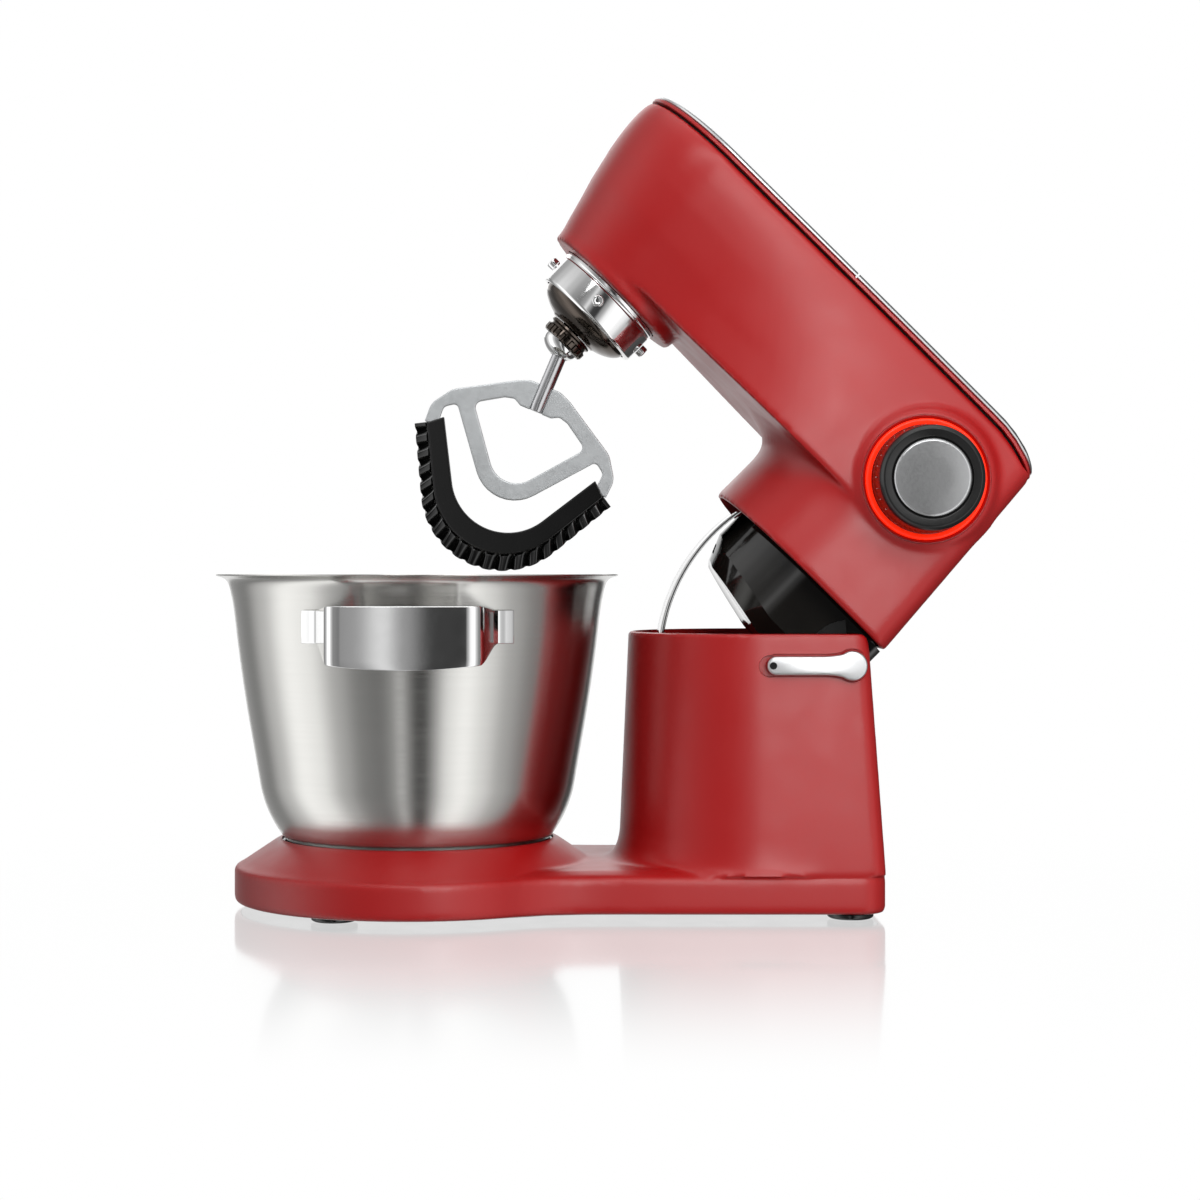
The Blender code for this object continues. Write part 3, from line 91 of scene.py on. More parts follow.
class Paint:
    """A Principled material with helpers that wire procedural detail into it."""

    def __init__(self, name, colour, roughness, metallic=0.0, **inputs):
        self.material = bpy.data.materials.new(name)
        self.material.use_nodes = True
        self.tree = self.material.node_tree
        self.shader = self.tree.nodes["Principled BSDF"]
        self.shader.inputs["Base Color"].default_value = (*colour, 1)
        self.shader.inputs["Roughness"].default_value = roughness
        self.shader.inputs["Metallic"].default_value = metallic
        for key, value in inputs.items():
            self.shader.inputs[key.replace("_", " ")].default_value = value
        self.coords = self.tree.nodes.new("ShaderNodeTexCoord").outputs["Object"]
        self.height = None

    def link(self, a, b):
        self.tree.links.new(a, b)

    def stretched(self, scale):
        mapping = node(self.tree, "ShaderNodeMapping", {"Scale": scale})
        self.link(self.coords, mapping.inputs["Vector"])
        return mapping.outputs["Vector"]

    def noise(self, scale, detail=3.0, stretch=None, roughness=0.5):
        made = node(self.tree, "ShaderNodeTexNoise", {"Scale": scale, "Detail": detail, "Roughness": roughness})
        self.link(self.stretched(stretch) if stretch else self.coords, made.inputs["Vector"])
        return made.outputs["Fac"]

    def ramp(self, value, low, high, start=0.35, end=0.65):
        made = node(self.tree, "ShaderNodeMapRange", {
            "From Min": start, "From Max": end, "To Min": low, "To Max": high,
        })
        self.link(value, made.inputs["Value"])
        return made.outputs["Result"]

    def vary_roughness(self, value, low, high, start=0.35, end=0.65):
        self.link(self.ramp(value, low, high, start, end), self.shader.inputs["Roughness"])

    def vary_colour(self, value, low, high):
        mix = node(self.tree, "ShaderNodeMix", data_type="RGBA")
        mix.inputs["A"].default_value = (*low, 1)
        mix.inputs["B"].default_value = (*high, 1)
        self.link(self.ramp(value, 0, 1), mix.inputs["Factor"])
        self.link(mix.outputs["Result"], self.shader.inputs["Base Color"])

    def bump(self, value, distance, strength=1.0):
        made = node(self.tree, "ShaderNodeBump", {"Strength": strength, "Distance": distance})
        self.link(value, made.inputs["Height"])
        if self.height is not None:
            self.link(self.height, made.inputs["Normal"])
        self.height = made.outputs["Normal"]
        self.link(self.height, self.shader.inputs["Normal"])


def scaled(colour, factor):
    return tuple(c * factor for c in colour)


RED_COLOUR = (0.33, 0.004, 0.0045)


def make_red():
    paint = Paint("red_paint", RED_COLOUR, 0.36)
    paint.vary_colour(paint.noise(7, 2), scaled(RED_COLOUR, 0.96), scaled(RED_COLOUR, 1.04))
    paint.vary_roughness(paint.noise(45, 4), 0.34, 0.39)
    paint.bump(paint.noise(900, 2), 0.00006, 0.25)
    return paint.material


def make_brushed():
    """Steel brushed round the bowl: fine lines with a long grain."""
    base = (0.56, 0.555, 0.535)
    paint = Paint("brushed_steel", base, 0.25, 1.0, Anisotropic=0.75, Anisotropic_Rotation=0.25)
    tangent = node(paint.tree, "ShaderNodeTangent", direction_type="RADIAL", axis="Z")
    paint.link(tangent.outputs["Tangent"], paint.shader.inputs["Tangent"])
    lines = paint.noise(1, 6, stretch=(5, 5, 2600), roughness=0.75)
    paint.vary_colour(lines, scaled(base, 0.985), scaled(base, 1.015))
    paint.vary_roughness(paint.noise(1, 4, stretch=(14, 14, 900)), 0.23, 0.27)
    paint.bump(lines, 0.000003, 0.2)
    return paint.material


def make_polished(name, colour, roughness, scratch=0.03):
    paint = Paint(name, colour, roughness, 1.0)
    paint.vary_roughness(paint.noise(120, 4), roughness, roughness + scratch)
    paint.bump(paint.noise(500, 3), 0.00001, 0.3)
    return paint.material


def make_satin():
    base = (0.52, 0.525, 0.53)
    paint = Paint("satin_silver", base, 0.3, 1.0)
    grain = paint.noise(700, 2)
    paint.vary_colour(grain, scaled(base, 0.985), scaled(base, 1.015))
    paint.vary_roughness(grain, 0.29, 0.32)
    return paint.material


def make_cast():
    base = (0.60, 0.62, 0.63)
    paint = Paint("cast_aluminium", base, 0.46, 0.75)
    paint.vary_colour(paint.noise(40, 5), scaled(base, 0.94), scaled(base, 1.05))
    paint.vary_roughness(paint.noise(300, 4), 0.42, 0.54)
    paint.bump(paint.noise(1100, 4), 0.00008, 0.5)
    return paint.material


def make_plastic(name, colour, roughness, grain=1500, depth=0.00004, **inputs):
    paint = Paint(name, colour, roughness, **inputs)
    paint.vary_roughness(paint.noise(60, 4), roughness * 0.9, roughness * 1.15)
    paint.vary_colour(paint.noise(25, 3), scaled(colour, 0.85), scaled(colour, 1.2))
    paint.bump(paint.noise(grain, 3), depth, 0.4)
    return paint.material


def make_light():
    paint = Paint("light_ring", (0.75, 0.03, 0.01), 0.3, Emission_Color=(1, 0.02, 0.002, 1), Emission_Strength=0.85)
    paint.vary_roughness(paint.noise(200, 3), 0.25, 0.38)
    return paint.material


SLOTS = {
    "red_paint": make_red(),
    "brushed_steel": make_brushed(),
    "polished_steel": make_polished("polished_steel", (0.74, 0.74, 0.74), 0.07),
    "satin_silver": make_satin(),
    "plain_steel": make_polished("plain_steel", (0.5, 0.5, 0.51), 0.2, 0.08),
    "cast_aluminium": make_cast(),
    "dark_metal": make_polished("dark_metal", (0.085, 0.07, 0.06), 0.12, 0.05),
    "dark_plastic": make_plastic("dark_plastic", (0.005, 0.005, 0.005), 0.3),
    "gloss_black": make_plastic("gloss_black", (0.008, 0.007, 0.006), 0.1, 300, 0.00001, Coat_Weight=0.5),
    "black_rubber": make_plastic("black_rubber", (0.003, 0.003, 0.003), 0.13, 500, 0.00001),
    "light_ring": make_light(),
}
NODE_SLOT = {part["node"]: part["material_slot"] for part in frame["record"]["subparts"]}

# ---------------------------------------------------------------- shapes


PAINTED = bpy.data.collections.new("painted_pieces")  # what the strip light reaches
CAST_SHARP = 32  # degrees over which an edge of the remeshed housings stays sharp
THIN_SHARP = 30


def smooth_shade(data, sharp):
    data.shade_smooth()
    data.set_sharp_from_angle(angle=math.radians(sharp))


def finish_mesh(name, shape, matrix, smooth_angle=35):
    bmesh.ops.recalc_face_normals(shape, faces=shape.faces)
    mesh = bpy.data.meshes.new(name)
    shape.to_mesh(mesh)
    shape.free()
    mesh.transform(matrix)
    if matrix.determinant() < 0:
        mesh.flip_normals()
    obj = bpy.data.objects.new(name, mesh)
    bpy.context.scene.collection.objects.link(obj)
    if smooth_angle:
        smooth_shade(mesh, smooth_angle)
    else:
        mesh.shade_smooth()
    return obj


def piece(obj, body, slot, *replaced):
    obj.data.materials.clear()
    obj.data.materials.append(SLOTS[slot])
    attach(obj, body)
    if slot == "red_paint" or obj.name == "lever_bar":
        PAINTED.objects.link(obj)
    if replaced:
        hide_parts(*replaced)
    return obj


def apply(obj):
    """Turn an object's modifiers into its mesh."""
    graph = bpy.context.evaluated_depsgraph_get()
    mesh = bpy.data.meshes.new_from_object(obj.evaluated_get(graph))
    obj.modifiers.clear()
    obj.data = mesh
    return obj


def bevelled(obj, width, segments=3, angle=35):
    modifier = obj.modifiers.new("edges", "BEVEL")
    modifier.width, modifier.segments, modifier.limit_method = width * MM, segments, "ANGLE"
    modifier.angle_limit = math.radians(angle)
    apply(obj)
    smooth_shade(obj.data, THIN_SHARP)
    return obj


def combine(obj, other, operation):
    modifier = obj.modifiers.new("combine", "BOOLEAN")
    modifier.operation, modifier.solver, modifier.object = operation, "EXACT", other
    apply(obj)
    bpy.data.objects.remove(other)
    return obj


def soften(obj, voxel, rounds):
    """Remesh evenly and smooth, which rounds every edge like a casting's."""
    remesh = obj.modifiers.new("remesh", "REMESH")
    remesh.mode, remesh.voxel_size = "VOXEL", voxel * MM
    smooth = obj.modifiers.new("smooth", "SMOOTH")
    smooth.factor, smooth.iterations = 0.5, rounds
    apply(obj)
    return obj


def rounded_profile(points, steps=4):
    """A profile whose corners are arcs; each point is (r, z) or (r, z, corner radius)."""
    out = []
    for k, point in enumerate(points):
        corner = point[2] if len(point) > 2 else 0
        if k in (0, len(points) - 1) or corner <= 0:
            out.append(tuple(point[:2]))
            continue
        here = Vector(point[:2])
        back = Vector(points[k - 1][:2]) - here
        ahead = Vector(points[k + 1][:2]) - here
        reach = min(corner, back.length * 0.45, ahead.length * 0.45)
        a, b = here + back.normalized() * reach, here + ahead.normalized() * reach
        for step in range(steps + 1):
            u = step / steps
            out.append(tuple(a * (1 - u) ** 2 + here * 2 * u * (1 - u) + b * u * u))
    return out


def bridge(shape, rings):
    """Faces between closed rings that have as many points each."""
    size = len(rings[0])
    for above, below in zip(rings, rings[1:]):
        for k in range(size):
            after = (k + 1) % size
            shape.faces.new((above[k], below[k], below[after], above[after]))


def turned(name, profile, matrix, steps=96, closed=False, smooth_angle=40):
    """A profile of (radius, height) in millimetres turned about the matrix's Z axis."""
    shape = bmesh.new()
    rings = []
    for r, z in profile:
        if r < 1e-6:
            rings.append([shape.verts.new((0, 0, z))])
            continue
        angles = [2 * math.pi * k / steps for k in range(steps)]
        rings.append([shape.verts.new((r * math.cos(a), r * math.sin(a), z)) for a in angles])
    pairs = list(zip(rings, rings[1:]))
    if closed:
        pairs.append((rings[-1], rings[0]))
    for above, below in pairs:
        for k in range(steps):
            after = (k + 1) % steps
            if len(above) == 1 and len(below) == 1:
                continue
            if len(above) == 1:
                shape.faces.new((above[0], below[k], below[after]))
            elif len(below) == 1:
                shape.faces.new((above[k], below[0], above[after]))
            else:
                shape.faces.new((above[k], below[k], below[after], above[after]))
    return finish_mesh(name, shape, matrix, smooth_angle)


def curve_mesh(name, curve, matrix):
    drawn = bpy.data.objects.new(name, curve)
    bpy.context.scene.collection.objects.link(drawn)
    bpy.context.view_layer.update()
    mesh = bpy.data.meshes.new_from_object(drawn.evaluated_get(bpy.context.evaluated_depsgraph_get()))
    bpy.data.objects.remove(drawn)
    shape = bmesh.new()
    shape.from_mesh(mesh)
    bmesh.ops.remove_doubles(shape, verts=shape.verts, dist=1e-4)
    return finish_mesh(name, shape, matrix)


def outline_curve(name, outlines):
    """A flat filled curve: the first outline is its outside and the rest are holes."""
    curve = bpy.data.curves.new(name, "CURVE")
    curve.dimensions, curve.fill_mode = "2D", "BOTH"
    for outline in outlines:
        spline = curve.splines.new("POLY")
        spline.points.add(len(outline) - 1)
        for point, (x, y) in zip(spline.points, outline):
            point.co = (x, y, 0, 1)
        spline.use_cyclic_u = True
    return curve


def plate(name, outlines, thickness, edge, matrix):
    """Flat outlines in the matrix's XY plane, given a thickness and rounded edges."""
    curve = outline_curve(name, outlines)
    curve.extrude, curve.bevel_depth, curve.bevel_resolution = thickness / 2 - edge, edge, 2
    curve.offset = -edge
    return curve_mesh(name, curve, matrix)


def flat(name, outlines, thickness, matrix):
    """A plain plate, for a piece that is remeshed afterwards."""
    curve = outline_curve(name, outlines)
    curve.extrude = thickness / 2
    return curve_mesh(name, curve, matrix)


def smoothed(points, rounds=3, closed=True):
    """Chaikin corner cutting."""
    for _ in range(rounds):
        out = []
        for k, here in enumerate(points if closed else points[:-1]):
            after = points[(k + 1) % len(points)]
            out.append((here[0] * 0.75 + after[0] * 0.25, here[1] * 0.75 + after[1] * 0.25))
            out.append((here[0] * 0.25 + after[0] * 0.75, here[1] * 0.25 + after[1] * 0.75))
        if not closed:
            out = [points[0]] + out + [points[-1]]
        points = out
    return points


def corner_arcs(corners, steps=10):
    """A closed outline from (x, y, radius) corners."""
    points = []
    for k, (x, y, radius) in enumerate(corners):
        here = Vector((x, y))
        back = (Vector(corners[k - 1][:2]) - here).normalized()
        ahead = (Vector(corners[(k + 1) % len(corners)][:2]) - here).normalized()
        if radius <= 0:
            points.append((x, y))
            continue
        half = back.angle(ahead) / 2
        centre = here + (back + ahead).normalized() * (radius / math.sin(half))
        first = here + back * (radius / math.tan(half)) - centre
        last = here + ahead * (radius / math.tan(half)) - centre
        turn = first.angle_signed(last)
        for step in range(steps + 1):
            angle = -turn * step / steps
            points.append((
                centre.x + first.x * math.cos(angle) - first.y * math.sin(angle),
                centre.y + first.x * math.sin(angle) + first.y * math.cos(angle),
            ))
    return points


def mirrored(half):
    return list(half) + [(-c[0], *c[1:]) for c in reversed(half) if c[0] > 0]


def half_outline(front_x, centre_x, front_half, rear_x, rear_half, corner, side_x, sweep=90, arcs=40):
    """The +y half of a plan outline, as the CAD's, with finer steps."""
    points = []
    for k in range(arcs + 1):
        angle = math.radians(sweep) * k / arcs
        points.append((centre_x - (centre_x - front_x) * math.cos(angle), front_half * math.sin(angle)))
    (x0, y0), x1, y1 = points[-1], side_x, rear_half
    slope = front_half / (centre_x - front_x) / math.tan(math.radians(sweep)) if sweep != 90 else 0.0
    for k in range(1, 17):
        u = k / 16
        y = (2 * u**3 - 3 * u**2 + 1) * y0 + (3 * u**2 - 2 * u**3) * y1 + (u**3 - 2 * u**2 + u) * slope * (x1 - x0)
        points.append((x0 + (x1 - x0) * u, y))
    for k in range(1, 9):
        points.append((x1 + (rear_x - corner - x1) * k / 9, rear_half))
    for k in range(11):
        angle = math.pi / 2 * k / 10
        points.append((rear_x - corner + corner * math.sin(angle), rear_half - corner + corner * math.cos(angle)))
    return points


def level(outline, height):
    return [(x, y, height(x) if callable(height) else height) for x, y in outline]


def loft(name, levels, matrix, smooth_angle=35):
    last = len(levels[0]) - 1
    count = 2 * last + 1
    shape = bmesh.new()
    rings = []
    for points in levels:
        far = [(x, -y, z) for x, y, z in reversed(points[1:])]
        rings.append([shape.verts.new(p) for p in list(points) + far])
    for low, high in zip(rings, rings[1:]):
        for k in range(count):
            after = (k + 1) % count
            shape.faces.new((low[k], low[after], high[after], high[k]))
    for ends in (rings[0], rings[-1]):
        for k in range(last):
            corners = [ends[k], ends[k + 1], ends[count - k - 1], ends[(count - k) % count]]
            shape.faces.new(list(dict.fromkeys(corners)))
    bmesh.ops.recalc_face_normals(shape, faces=shape.faces)
    bmesh.ops.triangulate(shape, faces=[f for f in shape.faces if len(f.verts) > 4])
    return finish_mesh(name, shape, matrix, smooth_angle)


def block(name, low, high, matrix):
    shape = bmesh.new()
    bmesh.ops.create_cube(shape, size=1.0)
    for vert in shape.verts:
        vert.co = Vector([(h + l) / 2 + c * (h - l) for l, h, c in zip(low, high, vert.co)])
    return finish_mesh(name, shape, matrix, 0)


def cylinder(name, start, end, radius, matrix, segments=96, end_radius=None):
    start, end = Vector(start), Vector(end)
    axis = end - start
    shape = bmesh.new()
    bmesh.ops.create_cone(
        shape, cap_ends=True, segments=segments, radius1=radius,
        radius2=radius if end_radius is None else end_radius, depth=axis.length,
    )
    turn = axis.to_track_quat("Z", "Y").to_matrix().to_4x4()
    bmesh.ops.transform(shape, matrix=Matrix.Translation((start + end) / 2) @ turn, verts=shape.verts)
    return finish_mesh(name, shape, matrix)


# ---------------------------------------------------------------- base and column

BASE_FRONT_R, BASE_HALF, BASE_REAR = 114.5, 83.0, 285.7
COLUMN_TOP, COLUMN_CENTRE = 171.6, 212.0
LEVER_THICKNESS, LEVER_Y = 4.7, -83.65  # its middle
SEAT_CLEARANCE, SEAT_THICKNESS, SEAT_Y = 1.3, 12, -85.0  # the cutter's
# where the dark disc of painted shade sits on the lever, and its radius
LEVER_SHADE_DISC_REACH, LEVER_SHADE_DISC_R = 47.4, 2.2


def base_plan(inset):
    front = BASE_FRONT_R - inset
    return half_outline(-front, 0, front, BASE_REAR - inset, BASE_HALF - inset, 14, COLUMN_CENTRE - 60, sweep=122)


def column_plan(z, grow=0.0):
    share = (z - 25) / (COLUMN_TOP - 25)
    front = 126.1 + 6.5 * share - grow
    rear = BASE_REAR - 10.6 * share + min(grow, 0.0)
    half = BASE_HALF - 3 * share + min(grow, 0.0)
    return half_outline(front, COLUMN_CENTRE, half + max(grow, 0.0) * 0.2, rear, half, 8, COLUMN_CENTRE + 40)


def column_top(x):
    radius = 6.0
    over = min(max(x - (BASE_REAR - 10.6 - radius), 0.0), radius)
    return COLUMN_TOP - radius + math.sqrt(radius**2 - over**2)


def make_base():
    solid = loft("base_paint", [
        level(base_plan(2.6), 3.5), level(base_plan(0.7), 4.6), level(base_plan(0), 6.4),
        level(base_plan(0), 24.2), level(base_plan(1.0), 25.6), level(base_plan(4.5), 27.3),
        level(base_plan(12), 29.3),
    ], BASE)
    slope = turned("slope", [
        (0, 42.6), (86.6, 42.6), (89.2, 41.2), (101.5, 33.0), (112.6, 25.6), (112.6, 18), (0, 18),
    ], BASE, 160)
    combine(solid, slope, "UNION")
    flare = [(27, 16), (29.5, 9), (31.5, 5.6), (34.5, 3), (39, 1.1), (46, 0)]
    levels = [level(column_plan(z, g), z) for z, g in flare]
    levels += [level(column_plan(z), z) for z in (80, 125, 160)] + [level(column_plan(COLUMN_TOP), column_top)]
    column = loft("column", levels, BASE)
    combine(solid, column, "UNION")
    soften(solid, 1.5, 8)
    cavity = loft("cavity", [level(base_plan(3.6), 2), level(base_plan(3.6), 21)], BASE)
    combine(solid, cavity, "DIFFERENCE")
    inner = loft("inner", [level(column_plan(25, -3.4), 17), level(column_plan(172, -3.4), 182)], BASE)
    combine(solid, inner, "DIFFERENCE")
    combine(solid, cylinder("well", (0, 0, 2), (0, 0, 60), 85.2, BASE, 128), "DIFFERENCE")
    combine(solid, block("notch", (266, -64, 143.8), (290, 64, 180), BASE), "DIFFERENCE")
    # a shallow seat for the lever, about 1 mm into the wall, and a deeper hollow for a fingertip at its end
    seat = plate("seat", [lever_outline(SEAT_CLEARANCE)], SEAT_THICKNESS, 0.4, lever_matrix(SEAT_Y))
    combine(solid, seat, "DIFFERENCE")
    tip_x, tip_z = HINGE_X - 49, HINGE_Z - 0.5
    tip = cylinder("tip", (tip_x, -86, tip_z), (tip_x, -77.5, tip_z), 7.6, BASE, 48, 6.2)
    combine(solid, tip, "DIFFERENCE")
    smooth_shade(solid.data, CAST_SHARP)
    piece(solid, "base", "red_paint", "base_housing")


def lever_matrix(y):
    return BASE @ Matrix.Translation((HINGE_X, y, HINGE_Z)) @ Matrix.Rotation(math.pi / 2, 4, "X")


def lever_outline(grow=0.0):
    boss, half, tip = 8.9 + grow, 5.6 + grow, -51.0 - grow
    points = []
    start = math.radians(52)
    for k in range(41):
        angle = -math.pi + start + (2 * math.pi - 2 * start) * k / 40
        points.append((boss * math.cos(angle), boss * math.sin(angle)))
    end_x, end_y = points[-1]
    flare = []
    for k in range(1, 9):
        u = k / 8
        flare.append((end_x + (-19 - end_x) * u, half + (end_y - half) * (1 - u) ** 2.2))
    points += flare
    for k in range(21):
        angle = math.pi / 2 + math.pi * k / 20
        points.append((tip + half + half * math.cos(angle), half * math.sin(angle)))
    points += [(x, -y) for x, y in reversed(flare)]
    return points


def make_lever():
    bar = plate("lever_bar", [lever_outline()], LEVER_THICKNESS, 1.3, lever_matrix(LEVER_Y))
    piece(bar, "lever", "satin_silver", "release_lever")
    # a thin near-black disc on the lever's outer face near its end: painted shade that stands for a small hollow;
    # nothing is cut into the lever
    hole_x = HINGE_X - LEVER_SHADE_DISC_REACH
    shade_disc = cylinder("lever_hollow_shade_disc", (hole_x, -86.1, HINGE_Z), (hole_x, -85.4, HINGE_Z), LEVER_SHADE_DISC_R, BASE, 32)
    piece(shade_disc, "lever", "dark_plastic")


# ---------------------------------------------------------------- arm

ARM_BOTTOM, ARM_TOP = 173.0, 316.9
REAR_X = 273.0
WALL = 3.2


def arm_rear(z):
    return REAR_X - 0.073 * (z - ARM_BOTTOM)


def arm_plan(z, nose, half, inset=0.0):
    r = nose - inset
    return half_outline(-r, 0, r, arm_rear(z) - inset, half - inset, 12, 157)


def block_plan(z, half, inset=0.0, front=137.1):
    return half_outline(
        front + inset, COLUMN_CENTRE, half - inset, arm_rear(z) - inset, half - inset, 12, COLUMN_CENTRE + 35,
    )


def top_drop(x):
    return 9.8 * max((x - 223) / (arm_rear(ARM_TOP) - 223), 0.0) ** 2


# the arm above its underside: height, radius of the nose, half width
LEVELS = [(225, 50.6, 77.5), (235, 53.4, 77.0), (245, 56.1, 76.5), (257, 59.7, 75.8), (270, 62.7, 75), (281, 65.2, 74),
          (292, 66.9, 73), (300, 67.7, 72.2), (307, 67.9, 71.3), (312, 67.5, 70.7)]


def make_arm():
    levels = [level(arm_plan(z, r, w), z) for z, r, w in LEVELS]
    levels.append(level(arm_plan(ARM_TOP, 66.6, 70), lambda x: ARM_TOP - top_drop(x)))
    solid = loft("arm_paint", levels, ARM)
    fillet = [(173, 137.1), (205, 137.1), (211, 136.4), (216, 134.3), (220, 130.2), (223, 123.5), (225.2, 112),
              (226.5, 100)]
    blocks = []
    for z, front in fillet:
        share = (z - 173) / 52
        blocks.append(level(block_plan(z, 79.5 - 2.1 * share, front=front), z))
    combine(solid, loft("rear_block", blocks, ARM), "UNION")
    nose = turned("nose", [
        (0, 240), (48.9, 240), (52.5, 232), (50.6, 226), (49.3, 220), (48.9, 215), (0, 215),
    ], ARM, 160)
    combine(solid, nose, "UNION")
    swell = cylinder("swell", (KNOB_X, -66, KNOB_Z), (KNOB_X, -79.4, KNOB_Z), 50, ARM, 128, 40.6)
    combine(solid, swell, "UNION")
    soften(solid, 1.5, 14)
    inner = [level(arm_plan(z, r, w, WALL), z) for z, r, w in LEVELS[1:]]
    inner.insert(0, level(arm_plan(228.2, 50.5, 77.5, WALL), 228.2))
    inner.append(level(arm_plan(ARM_TOP, 66.6, 70, WALL), 330))
    combine(solid, loft("inner", inner, ARM), "DIFFERENCE")
    block_inner = [level(block_plan(173, 79.5, 2.4), 160), level(block_plan(225, 77.5, WALL + 0.3), 233)]
    combine(solid, loft("block_inner", block_inner, ARM), "DIFFERENCE")
    combine(solid, cylinder("bore", (0, 0, 205), (0, 0, 235), 37.6, ARM, 128), "DIFFERENCE")
    dish = cylinder("dish", (KNOB_X, -100, KNOB_Z), (KNOB_X, -50, KNOB_Z), 38.9, ARM, 128)
    combine(solid, dish, "DIFFERENCE")
    smooth_shade(solid.data, CAST_SHARP)
    piece(solid, "arm", "red_paint", "arm_housing")


def top_plan(inset):
    return arm_plan(ARM_TOP, 66.6, 70, inset)


def over_top(z):
    return lambda x: z - top_drop(x)


def make_arm_top():
    trim = loft("trim_strip", [
        level(top_plan(0.5), over_top(318.2)), level(top_plan(0.0), over_top(318.6)),
        level(top_plan(0.0), over_top(320.0)), level(top_plan(0.5), over_top(320.4)),
    ], ARM)
    for x in (0, 205):
        combine(trim, cylinder("outlet", (x, 0, 300), (x, 0, 340), 24, ARM), "DIFFERENCE")
    piece(trim, "arm", "red_paint", "top_trim")
    rows = [(320.7, 1.2), (321.4, 0.6), (322.4, 0.9), (323.3, 2.0), (324.0, 4.0), (324.5, 7.5), (324.7, 13)]
    gap = ((-100, 101.4), (102.6, 300))
    for name, body, node_name, (low, high) in (
        ("lid_front", "front_cover", "front_lid", gap[0]), ("lid_rear", "rear_cover", "rear_lid", gap[1]),
    ):
        lid = loft(name, [level(top_plan(inset), over_top(z)) for z, inset in rows], ARM)
        keep = block("keep", (low, -90, 290), (high, 90, 340), ARM)
        combine(lid, keep, "INTERSECT")
        smooth_shade(lid.data, THIN_SHARP)
        piece(lid, body, "satin_silver", node_name)


def tub_bottom(x):
    stations = ((155, 146), (166, 137.5), (211, 128), (250, 128), (264, 130), (274, 138))
    for (x0, z0), (x1, z1) in zip(stations, stations[1:]):
        if x <= x1:
            break
    return z0 + (z1 - z0) * (x - x0) / (x1 - x0)


def make_tub():
    def plan(front, rear, half):
        return half_outline(front, COLUMN_CENTRE, half, rear, half, 5, COLUMN_CENTRE + 20)

    tub = loft("tub_shell", [
        level(plan(165, 265, 50), lambda x: tub_bottom(x) + 0.6),
        level(plan(162, 267, 53), tub_bottom),
        level(plan(155.4, 273, 62), lambda x: tub_bottom(x) + 11),
        level(plan(155.4, 273, 62), 171.9), level(plan(155.4, 267.9, 62), 172.4),
        level(plan(158.6, 267.9, 62), 184),
    ], ARM, 20)
    inner = loft("tub_inner", [
        level(plan(160, 264, 50), lambda x: tub_bottom(x) + 3), level(plan(158, 265.4, 59.5), 150),
        level(plan(158, 265.4, 59.5), 190),
    ], ARM)
    combine(tub, inner, "DIFFERENCE")
    bore = cylinder("pin", (HINGE_X, -90, HINGE_Z), (HINGE_X, 90, HINGE_Z), 5, ARM, 32)
    combine(tub, bore, "DIFFERENCE")
    tub.data.set_sharp_from_angle(angle=math.radians(18))
    piece(tub, "arm", "gloss_black", "motor_tub")


def make_strap():
    points = []
    for k in range(41):
        angle = math.radians(166 + 66 * k / 40)
        points.append((math.cos(angle), math.sin(angle)))
    outline = [(112 * c, 112 * s) for c, s in points] + [(114.5 * c, 114.5 * s) for c, s in reversed(points)]
    matrix = ARM @ Matrix.Translation((HINGE_X, 0, HINGE_Z)) @ Matrix.Rotation(math.pi / 2, 4, "X")
    piece(plate("strap", [outline], 60, 0.5, matrix), "arm", "polished_steel", "guard_strap")


# ---------------------------------------------------------------- knob


RIBS, RIB_DEPTH = 60, 0.55
TICKS, TICK_START, TICK_STEP = 14, 104, 12  # degrees


def make_knob():
    dish = turned("dish_floor", rounded_profile([
        (5, 0), (36.9, 0, 0.8), (37.5, 3.9, 0.6), (38.7, 4.2, 0.3), (38.7, -3), (5, -3), (5, 0),
    ]), KNOB, 128)
    piece(dish, "arm", "red_paint", "knob_dish")
    light = turned("light_band", rounded_profile([
        (33, 0.3), (33, 3.6, 0.6), (35.2, 4.4, 0.8), (36.5, 3.4, 0.8), (36.5, 0.3), (33, 0.3),
    ], steps=6), KNOB, 128)
    piece(light, "arm", "light_ring", "light_ring")
    front = DISH_Y + 108
    steps = 240
    shape = bmesh.new()
    profile = rounded_profile([
        (0, front - 2.4), (23.4, front - 2.4, 0.3), (24.4, front - 0.9, 0.4), (28.9, front, 0.9),
        (31.3, front - 2.8, 1.6), (31.6, 12), (31.7, 11), (32.4, 8, 0.5), (32.4, 2, 0.5), (0, 2),
    ], steps=5)
    rings = []
    for r, z in profile:
        ring = []
        for k in range(steps):
            angle = 2 * math.pi * k / steps
            rib = 0.0
            if 6 < z < 12.4 and r > 25:
                rib = RIB_DEPTH * (0.5 + 0.5 * math.cos(RIBS * angle)) ** 2
            ring.append(shape.verts.new(((r - rib) * math.cos(angle), (r - rib) * math.sin(angle), z)))
        rings.append(ring)
    bridge(shape, rings)
    bmesh.ops.remove_doubles(shape, verts=shape.verts, dist=1e-5)
    grip = finish_mesh("grip", shape, KNOB, 40)
    piece(grip, "knob", "dark_plastic", "knob_grip")
    cap = turned("cap", rounded_profile([
        (0, front + 0.5), (12, front + 0.35, 3), (21.8, front - 0.25, 1.2), (23, front - 1.2, 0.4),
        (23, front - 2.2), (0, front - 2.2),
    ], steps=6), KNOB, 128)
    piece(cap, "knob", "satin_silver", "knob_cap")
    for k in range(TICKS):
        angle = math.radians(TICK_START + TICK_STEP * k)
        turn = KNOB @ Matrix.Rotation(angle, 4, "Z")
        tick = block("tick", (31.9, -0.25, 14), (32.1, 0.25, 19), turn)
        piece(tick, "knob", "polished_steel")


# ---------------------------------------------------------------- hub and beater


TOOL_BORE_R = 5.9


